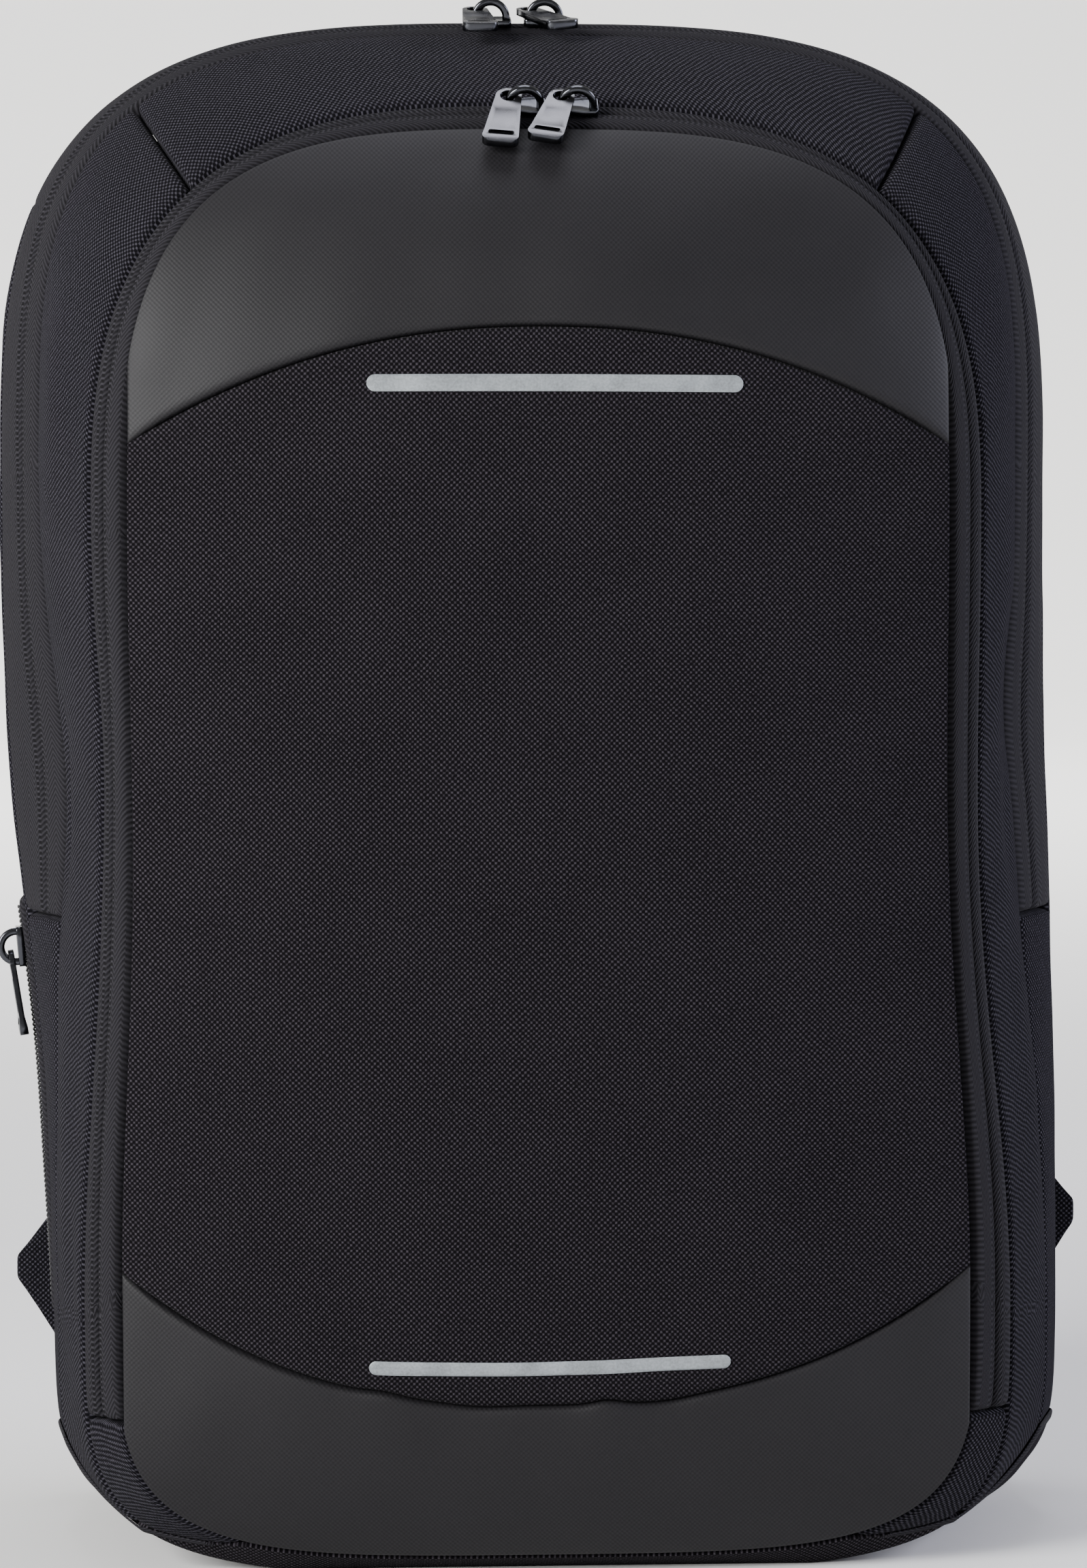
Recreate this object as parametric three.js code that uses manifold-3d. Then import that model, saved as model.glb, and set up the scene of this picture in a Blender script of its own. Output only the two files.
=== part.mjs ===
// Laptop backpack: a zipped cloth shell on a flat base, with padded back and shoulder straps.
// Millimetres, +Z up. The front panel faces -Y and the base stands on z = 0.
import * as THREE from 'three';
import Module from 'manifold-3d';

const wasm = await Module();
wasm.setup();

// Driving sizes
const GAP = 0.3;
const CLOTH = 1.6;
const ZIP_TAPE = 1.2;
const STRIP_TAPE = 1.0;
const BACK_PADDING = 5;
const PANEL_BULGE = 22;
const BACK_BULGE = 9;
// How a panel's bulge falls off towards its edges, across and upright
const BULGE_POWERS = { across: 2.2, acrossFall: 0.85, upright: 4, uprightFall: 0.8 };
const RIM_CLEARANCE = 0.5;

// The seams that run round the bag, from the front panel's edge to the back panel's edge.
// wide, hip, waist: half width at the shoulders, low down, and how far the sides move between them
// top, shoulder, hipAt, bottom: heights; squareTop, squareBottom: how square the corners are
// ySide, yTop, yBottom: depth; base: height at which the base panel starts
const SEAMS = [
  { name: 'panel edge', wide: 119, hip: 124, waist: -2.5, top: 418, shoulder: 300, hipAt: 85, bottom: 4.5,
    squareTop: 3.25, squareBottom: 4.2, ySide: -62, yTop: -38, yBottom: -56, base: 9 },
  { name: 'front zip edge', wide: 129, hip: 135.5, waist: -4, top: 425, shoulder: 300, hipAt: 75, bottom: -2,
    squareTop: 2.85, squareBottom: 4, ySide: -51, yTop: -27.5, yBottom: -47, base: 13 },
  { name: 'band edge', wide: 144.5, hip: 148, waist: -3, top: 447.5, shoulder: 320, hipAt: 70, bottom: -2,
    squareTop: 3.4, squareBottom: 4.5, ySide: -5, yTop: 8, yBottom: -5, base: 30 },
  { name: 'main zip edge', wide: 157, hip: 152.5, waist: 1, top: 452, shoulder: 310, hipAt: 65, bottom: -2,
    squareTop: 3.3, squareBottom: 4.5, ySide: 20, yTop: 28, yBottom: 16, base: 30 },
  { name: 'back edge', wide: 151, hip: 146, waist: 0, top: 443, shoulder: 310, hipAt: 65, bottom: -2,
    squareTop: 3.4, squareBottom: 4.5, ySide: 75, yTop: 75, yBottom: 72, base: 28 },
];
const [PANEL_EDGE, ZIP_EDGE, BAND_EDGE, MAIN_EDGE, BACK_EDGE] = [0, 1, 2, 3, 4];

// How far each strip between two seams puffs out between them
const STRIP_PUFF = [0.4, 2.5, 1.2, 2.5];
const [FRONT_ZIP, BAND, MAIN_ZIP, GUSSET] = [0, 1, 2, 3];

// Folds where a seam is drawn in: seam, side (-1 left, 1 right), height, depth and reach along the seam
const FOLDS = [
  { seam: BAND_EDGE, side: -1, height: 232, depth: 4.5, reach: 42 },
  { seam: ZIP_EDGE, side: -1, height: 240, depth: 2, reach: 40 },
  { seam: BAND_EDGE, side: 1, height: 248, depth: 2.5, reach: 26 },
  { seam: MAIN_EDGE, side: -1, height: 150, depth: 2, reach: 45 },
];

// The lower body sits a little to the right of the front panel, more so towards the back.
const LEAN = { shift: 10, frontDepth: -90, fullDepth: 20, from: 290, to: 60 };

// Where pieces end along the seams
const BAND_SEAM_STATION = 0.485;
const GUSSET_SEAM_STATION = 0.7;
const FRONT_ZIP_END = 46;
const MAIN_ZIP_END = 186;
const FRONT_ZIP_SLIT = 0.56;
const MAIN_ZIP_SLIT = 0.38;

// Seams of the front panel: height in the middle, how far the ends curve away, half width, power
const YOKE_SEAM_TOP = { middle: 359.5, curve: -32.5, reach: 116, power: 2.2 };
const YOKE_SEAM_BOTTOM = { middle: 53, curve: 37, reach: 122, power: 2.5 };
const STRIPS = [
  { name: 'reflective_strip_top', x: 3.5, z: 343.5, length: 106, height: 4.8 },
  { name: 'reflective_strip_bottom', x: 1, z: 65, length: 103, height: 4 },
];

// Zip sliders: a flat body with an arch on it, whose leg carries the eye of the pull
const SLIDER = { length: 12.2, width: 8, body: 2.4, archSpan: 11.4, archTop: 8.4, wire: 2.2, archWidth: 2.4 };
const PULL = { length: 26, width: 10.8, thick: 1.7, eyeRadius: 3.8, eyeHole: 2.1, corner: 2.4 };
const PULL_SLOT = { length: 7.4, height: 2, fromTip: 4 };

// Zips: the place of each slider and how its pull lies, which hangs on the arch's leg PULL_LEG.
// lean turns the pull over the cloth from straight down or forward, dip lowers its free end.
const ZIPS = [
  { name: 'front_zip', end: 'left', strip: FRONT_ZIP, slit: FRONT_ZIP_SLIT, x: -2.9, lean: 9, dip: 6 },
  { name: 'front_zip', end: 'right', strip: FRONT_ZIP, slit: FRONT_ZIP_SLIT, x: 12.3, lean: 15, dip: 3 },
  { name: 'main_zip', end: 'left', strip: MAIN_ZIP, slit: MAIN_ZIP_SLIT, x: -10.5, lean: -2, dip: 2 },
  { name: 'main_zip', end: 'right', strip: MAIN_ZIP, slit: MAIN_ZIP_SLIT, x: 5.5, lean: -26, dip: 1 },
];
const PULL_LEG = -1;
// The side zip's slider sits a little over the tape, which curves under it.
const SIDE_ZIP = {
  from: 190, to: 64, sliderAt: 175, seat: 0.15, across: 0.05, width: 16, heading: -90, dip: 4,
};

const STRAP = { width: 58, thick: 10, topWidth: 50, taper: 14, taperFrom: 0.8 };
// The strap's middle line: on the back with x, z and how far it lifts, then free with x, y, z
const STRAP_ON_BACK = [{ x: 66, z: 424, lift: 0 }, { x: 66, z: 408, lift: 1 }, { x: 67, z: 390, lift: 6 }];
const STRAP_FREE = [
  { x: 72, y: 111, z: 340 }, { x: 82, y: 116, z: 270 }, { x: 93, y: 113, z: 205 }, { x: 100, y: 107, z: 160 },
];
const WEBBING = { width: 25, thick: 1.8 };
const BUCKLE = { width: 34, height: 24, thick: 4, corner: 3, slotLength: 27, slotHeight: 4.2, slotAt: 5.4 };
const BASE_EDGE = {
  width: 3.4, thick: 1, cells: [4, 6, 4, 6], reach: [[0.35, 1], [0, 1], [0, 1], [0, 0.92]],
};
const WING = { thick: 3, reach: 20, top: 26, bottom: 34, tip: 5, round: 1.6, back: 71 };
const WING_HEIGHT = { left: 70, right: 85 };
// The handle's line is given by x and the distance off the back, from its sewn end to its middle.
const HANDLE = {
  height: 417, width: 20, thick: 3.6, line: [[37, 0.15], [29, 0.5], [23, 6.5], [16, 17.5], [0, 22]],
};

const COLOURS = {
  woven: 0x232327,
  coated: 0x3b3b40,
  band: 0x2b2b31,
  tape: 0x38383b,
  reflective: 0xaeb3b8,
  metal: 0x55565a,
  mesh: 0x1f1f22,
  webbing: 0x29292d,
  plastic: 0x1a1a1c,
};

// Small mathematics
const lerp = (from, to, part) => from + (to - from) * part;
const clamp = (value) => Math.min(1, Math.max(0, value));
const smooth = (value) => clamp(value) ** 2 * (3 - 2 * clamp(value));
const vec = (x, y, z) => new THREE.Vector3(x, y, z);
const degrees = (angle) => THREE.MathUtils.degToRad(angle);

function leanShift(y, z) {
  const depth = Math.min(1, (y - LEAN.frontDepth) / (LEAN.fullDepth - LEAN.frontDepth));
  return LEAN.shift * depth * smooth((LEAN.from - z) / (LEAN.from - LEAN.to));
}

function foldDepth(seamIndex, side, z) {
  const folds = FOLDS.filter((fold) => fold.seam === seamIndex && fold.side === side);
  const depthAt = (fold) => fold.depth * Math.exp(-(((z - fold.height) / fold.reach) ** 2));
  return folds.reduce((sum, fold) => sum + depthAt(fold), 0);
}

// A point on a seam. The station runs from 0 at the top centre over 1 at the shoulder and 2 at the hip
// to 3 at the bottom centre, negative on the left.
function seamPoint(seamIndex, station) {
  const seam = SEAMS[seamIndex];
  const side = station < 0 ? -1 : 1;
  const along = Math.min(3, Math.abs(station));
  let half = 0;
  let z = 0;
  let y = seam.ySide;
  if (along <= 1) {
    const angle = degrees((1 - along) * 90);
    half = seam.wide * Math.cos(angle) ** (2 / seam.squareTop);
    z = lerp(seam.shoulder, seam.top, Math.sin(angle) ** (2 / seam.squareTop));
    y = lerp(seam.ySide, seam.yTop, Math.sin(angle) ** 2);
  } else if (along <= 2) {
    half = lerp(seam.wide, seam.hip, smooth(along - 1)) + seam.waist * Math.sin(Math.PI * (along - 1)) ** 2;
    z = lerp(seam.shoulder, seam.hipAt, along - 1);
  } else {
    const angle = degrees((along - 2) * 90);
    half = seam.hip * Math.abs(Math.cos(angle)) ** (2 / seam.squareBottom);
    z = lerp(seam.hipAt, seam.bottom, Math.sin(angle) ** (2 / seam.squareBottom));
    y = lerp(seam.ySide, seam.yBottom, Math.sin(angle) ** 2);
  }
  half -= foldDepth(seamIndex, side, z);
  return vec(side * half + leanShift(y, z), y, Math.max(0, z));
}

// The station at which a seam passes a height, on the sides and the lower corners
function stationAt(seamIndex, z) {
  const seam = SEAMS[seamIndex];
  if (z > seam.shoulder) {
    const rise = (z - seam.shoulder) / (seam.top - seam.shoulder);
    return 1 - THREE.MathUtils.radToDeg(Math.asin(rise ** (seam.squareTop / 2))) / 90;
  }
  if (z > seam.hipAt) {
    return 1 + (seam.shoulder - z) / (seam.shoulder - seam.hipAt);
  }
  const drop = (seam.hipAt - z) / (seam.hipAt - seam.bottom);
  return 2 + THREE.MathUtils.radToDeg(Math.asin(drop ** (seam.squareBottom / 2))) / 90;
}

const baseStation = (strip, across) => lerp(
  stationAt(strip, SEAMS[strip].base), stationAt(strip + 1, SEAMS[strip + 1].base), across);
const heightStation = (strip, z) => (across) => lerp(stationAt(strip, z), stationAt(strip + 1, z), across);

// The outward direction of a strip between two seams, and of a seam between two strips
function stripNormal(strip, station) {
  const step = 1e-3;
  const before = Math.max(-3, station - step);
  const after = Math.min(3, station + step);
  const along = seamPoint(strip, after).add(seamPoint(strip + 1, after));
  along.sub(seamPoint(strip, before)).sub(seamPoint(strip + 1, before));
  const across = seamPoint(strip + 1, station).sub(seamPoint(strip, station));
  return along.cross(across).normalize();
}

function seamNormal(seamIndex, station) {
  const normal = vec(0, 0, 0);
  if (seamIndex > PANEL_EDGE) normal.add(stripNormal(seamIndex - 1, station));
  if (seamIndex < BACK_EDGE) normal.add(stripNormal(seamIndex, station));
  return normal.normalize();
}

function stripInward(strip, station, across) {
  const normal = seamNormal(strip, station).lerp(seamNormal(strip + 1, station), across);
  return normal.normalize().negate();
}

function stripPoint(strip, station, across, proud = 0) {
  const point = seamPoint(strip, station).lerp(seamPoint(strip + 1, station), across);
  const low = 1 - smooth((Math.abs(station) - 1.75) / 0.35);
  const puff = STRIP_PUFF[strip] * 4 * across * (1 - across) * low;
  return point.addScaledVector(stripInward(strip, station, across), -puff - proud);
}

// Stations shared by all strips, so that neighbours have the same corners along their seam
const SHARED_STATIONS = [];
for (let step = 0; step <= 14; step += 1) SHARED_STATIONS.push(step / 14);
for (let step = 1; step <= 8; step += 1) SHARED_STATIONS.push(1 + step / 8);

function stationRow(start, end) {
  const margin = 0.03;
  const tailStep = 0.07;
  const both = [...SHARED_STATIONS.slice(1).map((station) => -station).reverse(), ...SHARED_STATIONS];
  const inside = both.filter((station) => station > Math.max(start(0), start(1)) + margin
    && station < Math.min(end(0), end(1)) - margin);
  const steps = (from, to) => Math.max(1, Math.ceil((Math.max(Math.abs(from), Math.abs(to)) - 2) / tailStep));
  const ramp = (from, to, count) => Array.from({ length: count }, (_, step) => lerp(from, to, step / count));
  return (across) => {
    const [first, last] = [start(across), end(across)];
    if (inside.length === 0) {
      return [...ramp(first, last, Math.ceil((end(0.5) - start(0.5)) / tailStep)), last];
    }
    const [low, high] = [inside[0], inside[inside.length - 1]];
    const head = ramp(first, low, steps(start(0.5), low));
    const tail = ramp(high, last, steps(high, end(0.5)));
    return [...head, ...inside, ...tail.slice(1), last];
  };
}

// A closed sheet between an outer and an inner grid of points
function sheetGeometry(outer, inner) {
  const rows = outer.length;
  const columns = outer[0].length;
  const points = [...outer.flat(), ...inner.flat()];
  const index = [];
  const quad = (a, b, c, d) => index.push(a, b, c, a, c, d);
  const front = (row, column) => row * columns + column;
  const back = (row, column) => rows * columns + row * columns + column;
  for (let row = 0; row < rows - 1; row += 1) {
    for (let column = 0; column < columns - 1; column += 1) {
      quad(front(row, column), front(row, column + 1), front(row + 1, column + 1), front(row + 1, column));
      quad(back(row, column), back(row + 1, column), back(row + 1, column + 1), back(row, column + 1));
    }
    const end = columns - 1;
    quad(front(row, 0), front(row + 1, 0), back(row + 1, 0), back(row, 0));
    quad(front(row + 1, end), front(row, end), back(row, end), back(row + 1, end));
  }
  for (let column = 0; column < columns - 1; column += 1) {
    const end = rows - 1;
    quad(front(0, column + 1), front(0, column), back(0, column), back(0, column + 1));
    quad(front(end, column), front(end, column + 1), back(end, column + 1), back(end, column));
  }
  return solidGeometry(points, index);
}

function solidGeometry(points, index) {
  const geometry = new THREE.BufferGeometry();
  const volume = index.reduce((sum, corner, at) => {
    if (at % 3 !== 0) return sum;
    const [a, b, c] = [points[corner], points[index[at + 1]], points[index[at + 2]]];
    return sum + a.dot(b.clone().cross(c));
  }, 0);
  const facing = volume > 0 ? index : [...index].reverse();
  geometry.setFromPoints(points);
  geometry.setIndex(facing);
  geometry.computeVertexNormals();
  return geometry;
}

// A cloth piece on one strip, from one station to another and from one seam to the next
function stripPiece(strip, start, end, thick, options = {}) {
  const { from = 0, to = 1, cells = 4, proud = 0, trimFrom = GAP / 2, trimTo = GAP / 2 } = options;
  const row = stationRow(start, end);
  const middle = row(0.5);
  const width = middle.map((station) => seamPoint(strip, station).distanceTo(seamPoint(strip + 1, station)));
  const outer = [];
  const inner = [];
  for (let cell = 0; cell <= cells; cell += 1) {
    const part = lerp(from, to, cell / cells);
    const stations = row(part);
    const places = stations.map((station, at) => {
      const low = from + trimFrom / width[at];
      const high = to - trimTo / width[at];
      const across = lerp(low, high, cell / cells);
      const ends = at === 0 || at === stations.length - 1;
      const neighbour = at === 0 ? stations[1] : stations[at - 1];
      const length = stripPoint(strip, station, across).distanceTo(stripPoint(strip, neighbour, across));
      const trimmed = ends ? lerp(station, neighbour, GAP / 2 / length) : station;
      return { station: trimmed, across };
    });
    outer.push(places.map(({ station, across }) => stripPoint(strip, station, across, proud)));
    inner.push(places.map(({ station, across }, at) => outer[cell][at].clone()
      .addScaledVector(stripInward(strip, station, across), thick)));
  }
  return sheetGeometry(outer, inner);
}

const constant = (station) => () => station;
const mirrored = (limit) => (across) => -limit(across);

// The front panel's edge and its domed surface
function panelHalf(seamIndex, z) {
  const seam = SEAMS[seamIndex];
  if (z > seam.shoulder) {
    const rise = (z - seam.shoulder) / (seam.top - seam.shoulder);
    return seam.wide * Math.max(0, 1 - rise ** seam.squareTop) ** (1 / seam.squareTop);
  }
  if (z > seam.hipAt) {
    const down = (seam.shoulder - z) / (seam.shoulder - seam.hipAt);
    return lerp(seam.wide, seam.hip, smooth(down)) + seam.waist * Math.sin(Math.PI * down) ** 2;
  }
  const drop = (seam.hipAt - z) / (seam.hipAt - seam.bottom);
  return seam.hip * Math.max(0, 1 - drop ** seam.squareBottom) ** (1 / seam.squareBottom);
}

function edgeDepth(seamIndex, z) {
  const seam = SEAMS[seamIndex];
  if (z > seam.shoulder) {
    return lerp(seam.ySide, seam.yTop, ((z - seam.shoulder) / (seam.top - seam.shoulder)) ** seam.squareTop);
  }
  const drop = Math.max(0, (seam.hipAt - z) / (seam.hipAt - seam.bottom));
  return lerp(seam.ySide, seam.yBottom, drop ** seam.squareBottom);
}

// The bulge of a panel between its edges, 1 in the middle and 0 at the edge
function bulgeShare(seamIndex, x, z) {
  const seam = SEAMS[seamIndex];
  const half = Math.max(1, panelHalf(seamIndex, z));
  const middle = (seam.top + seam.bottom) / 2;
  const up = Math.abs(z - middle) / (seam.top - middle);
  const { across, acrossFall, upright, uprightFall } = BULGE_POWERS;
  const sideways = Math.max(0, 1 - Math.abs(x / half) ** across) ** acrossFall;
  return sideways * Math.max(0, 1 - up ** upright) ** uprightFall;
}

function panelPoint(x, z, proud = 0) {
  const y = edgeDepth(PANEL_EDGE, z) - PANEL_BULGE * bulgeShare(PANEL_EDGE, x, z) - proud;
  return vec(x + leanShift(y, z), y, z);
}

// Towards the inside of the panel: straight back in the middle, along the seam's own wall at the rim
function panelInward(x, z, rim) {
  const station = (x < 0 ? -1 : 1) * stationAt(PANEL_EDGE, z);
  const wall = seamNormal(PANEL_EDGE, station).negate();
  return vec(0, 1, 0).lerp(wall, clamp(rim) ** 8).normalize();
}

const yokeSeam = (seam, x) => seam.middle + seam.curve * Math.abs(x / seam.reach) ** seam.power;
const eased = (part) => Math.sin(((part * 2 - 1) * Math.PI) / 2) * 0.5 + 0.5;

// Places across the front panel, from -1 at its left rim to 1 at its right rim, shared by its three pieces
const PANEL_COLUMNS = Array.from({ length: 19 }, (_, column) => eased(column / 18) * 2 - 1);

// The half width of the panel along a line that is part of the way from the lower to the upper yoke seam
function rimHalf(part) {
  let half = SEAMS[PANEL_EDGE].wide;
  for (let pass = 0; pass < 12; pass += 1) {
    const z = lerp(yokeSeam(YOKE_SEAM_BOTTOM, half), yokeSeam(YOKE_SEAM_TOP, half), part);
    half = panelHalf(PANEL_EDGE, z) - RIM_CLEARANCE;
  }
  return half;
}

function panelSheet(lines) {
  const outer = lines.map((line) => line.map(({ x, z }) => panelPoint(x, z)));
  const inner = lines.map((line, row) => line.map(({ x, z, rim }, column) => outer[row][column].clone()
    .addScaledVector(panelInward(x, z, rim), CLOTH)));
  return sheetGeometry(outer, inner);
}

function frontPanelMid() {
  const rows = 12;
  return panelSheet(Array.from({ length: rows + 1 }, (_, row) => {
    const half = rimHalf(row / rows);
    return PANEL_COLUMNS.map((column) => {
      const x = column * half;
      const low = yokeSeam(YOKE_SEAM_BOTTOM, x) + GAP / 2;
      const high = yokeSeam(YOKE_SEAM_TOP, x) - GAP / 2;
      return { x, z: lerp(low, high, row / rows), rim: Math.abs(column) };
    });
  }));
}

// A yoke lies between a curved seam and the panel's upper or lower edge.
function frontYoke(seam, upper, cells) {
  const edge = SEAMS[PANEL_EDGE];
  const [wide, from, to, power] = upper ? [edge.wide, edge.shoulder, edge.top, edge.squareTop]
    : [edge.hip, edge.hipAt, edge.bottom, edge.squareBottom];
  const half = rimHalf(upper ? 1 : 0);
  const sign = upper ? 1 : -1;
  return panelSheet(Array.from({ length: cells + 1 }, (_, cell) => PANEL_COLUMNS.map((column) => {
    const part = Math.sin(((cell / cells) * Math.PI) / 2);
    const x = column * half;
    const rimZ = lerp(from, to, (1 - Math.abs(x / wide) ** power) ** (1 / power));
    const out = seamNormal(PANEL_EDGE, (x < 0 ? -1 : 1) * stationAt(PANEL_EDGE, rimZ)).setY(0).normalize();
    const start = yokeSeam(seam, x) + (sign * GAP) / 2;
    const slide = Math.min(RIM_CLEARANCE, RIM_CLEARANCE / Math.max(0.2, Math.abs(out.z)));
    return { x, z: lerp(start, rimZ - sign * slide, part), rim: Math.max(part, Math.abs(column)) };
  })));
}

// A reflective strip with round ends, lying on the front panel
function reflectiveStrip({ x, z, length, height }) {
  const columns = 14;
  const grid = (proud) => [-1, 1].map((edge) => Array.from({ length: columns + 1 }, (_, column) => {
    const part = eased(column / columns) * 2 - 1;
    const fromEnd = (length / 2) * (1 - Math.abs(part));
    const round = Math.min(1, (fromEnd + 0.2) / (height / 2));
    const half = (height / 2) * Math.sqrt(1 - (1 - round) ** 2);
    return panelPoint(x + (part * length) / 2, z + edge * half, proud);
  }));
  return sheetGeometry(grid(GAP + STRIP_TAPE), grid(GAP));
}

// The base runs under the bag from the front panel's edge to the back panel's edge.
function basePanel() {
  const columns = 10;
  const cells = [1, 3, 2, 3];
  const outer = [];
  const inner = [];
  cells.forEach((count, strip) => {
    for (let cell = strip === 0 ? 0 : 1; cell <= count; cell += 1) {
      const flush = strip === GUSSET && cell === count ? 1 - (CLOTH + 2 * GAP) / 60 : 1;
      const first = strip === FRONT_ZIP && cell === 0 ? GAP / 10 : 0;
      const across = (cell / count) * flush + first;
      const limit = baseStation(strip, across) + GAP / 60;
      const right = Array.from({ length: columns }, (_, step) => lerp(limit, 3, step / columns));
      const stations = [...right, 3, ...right.map((station) => -station).reverse()];
      outer.push(stations.map((station) => seamPoint(strip, station)
        .lerp(seamPoint(strip + 1, station), across)));
      inner.push(stations.map((station, at) => outer[outer.length - 1][at].clone()
        .addScaledVector(stripInward(strip, station, across), CLOTH)));
    }
  });
  return sheetGeometry(outer, inner);
}

// A narrow strip laid on the seam between the base and one side
function baseEdge(side) {
  const row = [];
  BASE_EDGE.cells.forEach((count, strip) => {
    const [from, to] = BASE_EDGE.reach[strip];
    for (let cell = 0; cell < count; cell += 1) row.push({ strip, across: lerp(from, to, cell / count) });
  });
  row.push({ strip: GUSSET, across: BASE_EDGE.reach[GUSSET][1] });
  const line = (edge, proud) => row.map(({ strip, across }) => {
    const middle = side * baseStation(strip, across);
    const step = 0.01;
    const [before, after] = [middle - step, middle + step].map((at) => stripPoint(strip, at, across));
    const half = (BASE_EDGE.width / before.distanceTo(after)) * step;
    return stripPoint(strip, middle + edge * half, across, proud);
  });
  const grid = (proud) => [line(-1, proud), line(0, proud), line(1, proud)];
  return sheetGeometry(grid(GAP + BASE_EDGE.thick), grid(GAP));
}

// A padded panel inside the back edge
function backPanel() {
  const rows = 14;
  const columns = 10;
  const inset = CLOTH + 2 * GAP + 0.3;
  const seam = SEAMS[BACK_EDGE];
  const low = CLOTH + 3 * GAP + 1;
  const high = seam.top - inset;
  const layer = (face) => Array.from({ length: rows + 1 }, (_, row) => {
    const z = lerp(low, high, eased(row / rows));
    const nearer = z > seam.shoulder ? z + inset : z - inset;
    const half = panelHalf(BACK_EDGE, Math.min(nearer, seam.top - 0.4)) - inset;
    return Array.from({ length: columns + 1 }, (_, column) => {
      const x = half * (eased(column / columns) * 2 - 1);
      const y = backSurface(x, z) - (face > 0 ? 0 : BACK_PADDING);
      return vec(x + leanShift(seam.ySide, z), y, z);
    });
  });
  return sheetGeometry(layer(1), layer(-1));
}

function backSurface(x, z) {
  const seam = SEAMS[BACK_EDGE];
  return seam.yBottom + 1 + BACK_BULGE * bulgeShare(BACK_EDGE, x, z);
}

// A flat band swept along a curve: its width lies along side(part), its section has rounded edges.
function sweptBand(curve, steps, width, thick, side) {
  const section = [
    [-1, 0.3], [-0.94, 1], [0.94, 1], [1, 0.3], [1, -0.3], [0.94, -1], [-0.94, -1], [-1, -0.3],
  ];
  const points = [];
  for (let step = 0; step <= steps; step += 1) {
    const part = step / steps;
    const along = curve.getTangentAt(part);
    const across = side(part).addScaledVector(along, -side(part).dot(along)).normalize();
    const normal = along.clone().cross(across);
    section.forEach(([u, v]) => points.push(curve.getPointAt(part)
      .addScaledVector(across, (u * width(part)) / 2).addScaledVector(normal, (v * thick) / 2)));
  }
  const count = section.length;
  const index = [];
  for (let step = 0; step < steps; step += 1) {
    for (let corner = 0; corner < count; corner += 1) {
      const a = step * count + corner;
      const b = step * count + ((corner + 1) % count);
      index.push(a, b, b + count, a, b + count, a + count);
    }
  }
  for (let corner = 1; corner < count - 1; corner += 1) {
    const last = steps * count;
    index.push(0, corner + 1, corner, last, last + corner, last + corner + 1);
  }
  return solidGeometry(points, index);
}

// The padded strap lies on the back at its top, stands off it for the arm and ends above the buckle.
const strapRoute = (side) => {
  const inner = STRAP.topWidth / 2;
  const onBack = (x, z) => backSurface(x - inner, z) + GAP + STRAP.thick / 2;
  return new THREE.CatmullRomCurve3([
    ...STRAP_ON_BACK.map(({ x, z, lift }) => vec(side * x, onBack(x, z) + lift, z)),
    ...STRAP_FREE.map(({ x, y, z }) => vec(side * x, y, z)),
  ]);
};
const strapEnd = (side) => strapRoute(side).getPointAt(1);
const strapFall = (side) => strapRoute(side).getTangentAt(1);

function shoulderStrap(side) {
  const width = (part) => lerp(STRAP.topWidth, STRAP.width, smooth(part * 3))
    - STRAP.taper * smooth((part - STRAP.taperFrom) / (1 - STRAP.taperFrom));
  return sweptBand(strapRoute(side), 15, width, STRAP.thick, () => vec(1, 0, 0));
}

function roundedRectangle(width, height, radius) {
  const shape = new THREE.Shape();
  const [w, h] = [width / 2, height / 2];
  shape.moveTo(-w + radius, -h);
  shape.lineTo(w - radius, -h);
  shape.absarc(w - radius, -h + radius, radius, -Math.PI / 2, 0);
  shape.lineTo(w, h - radius);
  shape.absarc(w - radius, h - radius, radius, 0, Math.PI / 2);
  shape.lineTo(-w + radius, h);
  shape.absarc(-w + radius, h - radius, radius, Math.PI / 2, Math.PI);
  shape.lineTo(-w, -h + radius);
  shape.absarc(-w + radius, -h + radius, radius, Math.PI, Math.PI * 1.5);
  return shape;
}

function extrude(shape, thick, curveSegments = 3) {
  const geometry = new THREE.ExtrudeGeometry(shape, { depth: thick, bevelEnabled: false, curveSegments });
  return geometry.translate(0, 0, -thick / 2);
}

// The frame of a piece from its origin and its x and z directions
function placed(origin, xAxis, zAxis) {
  const z = zAxis.clone().normalize();
  const x = xAxis.clone().addScaledVector(z, -xAxis.dot(z)).normalize();
  const y = z.clone().cross(x);
  return new THREE.Matrix4().makeBasis(x, y, z).setPosition(origin);
}

// A ladder buckle below the strap's end: a flat plate with two slots. inward points towards the back panel.
function buckleAxes(side) {
  const fall = strapFall(side);
  const across = vec(1, 0, 0).addScaledVector(fall, -fall.x).normalize();
  return { fall, across, inward: across.clone().cross(fall).negate() };
}

function buckleFrame(side) {
  const { fall, across, inward } = buckleAxes(side);
  return placed(strapEnd(side).addScaledVector(fall, BUCKLE.height / 2 + GAP), across, inward);
}

function ladderBuckle() {
  const shape = roundedRectangle(BUCKLE.width, BUCKLE.height, BUCKLE.corner);
  [-1, 1].forEach((end) => {
    const slot = roundedRectangle(BUCKLE.slotLength, BUCKLE.slotHeight, BUCKLE.corner / 3).getPoints(2);
    const lift = new THREE.Vector2(0, end * BUCKLE.slotAt);
    shape.holes.push(new THREE.Path(slot.map((point) => point.add(lift))));
  });
  return extrude(shape, BUCKLE.thick);
}

const sideName = (side) => (side < 0 ? 'left' : 'right');

// A stitched triangular tab in the seam between side and back, which takes the lower end of the webbing

function wingRoot(side) {
  const z = WING_HEIGHT[sideName(side)];
  const point = seamPoint(BACK_EDGE, side * stationAt(BACK_EDGE, z));
  return vec(point.x, WING.back, z);
}

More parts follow.
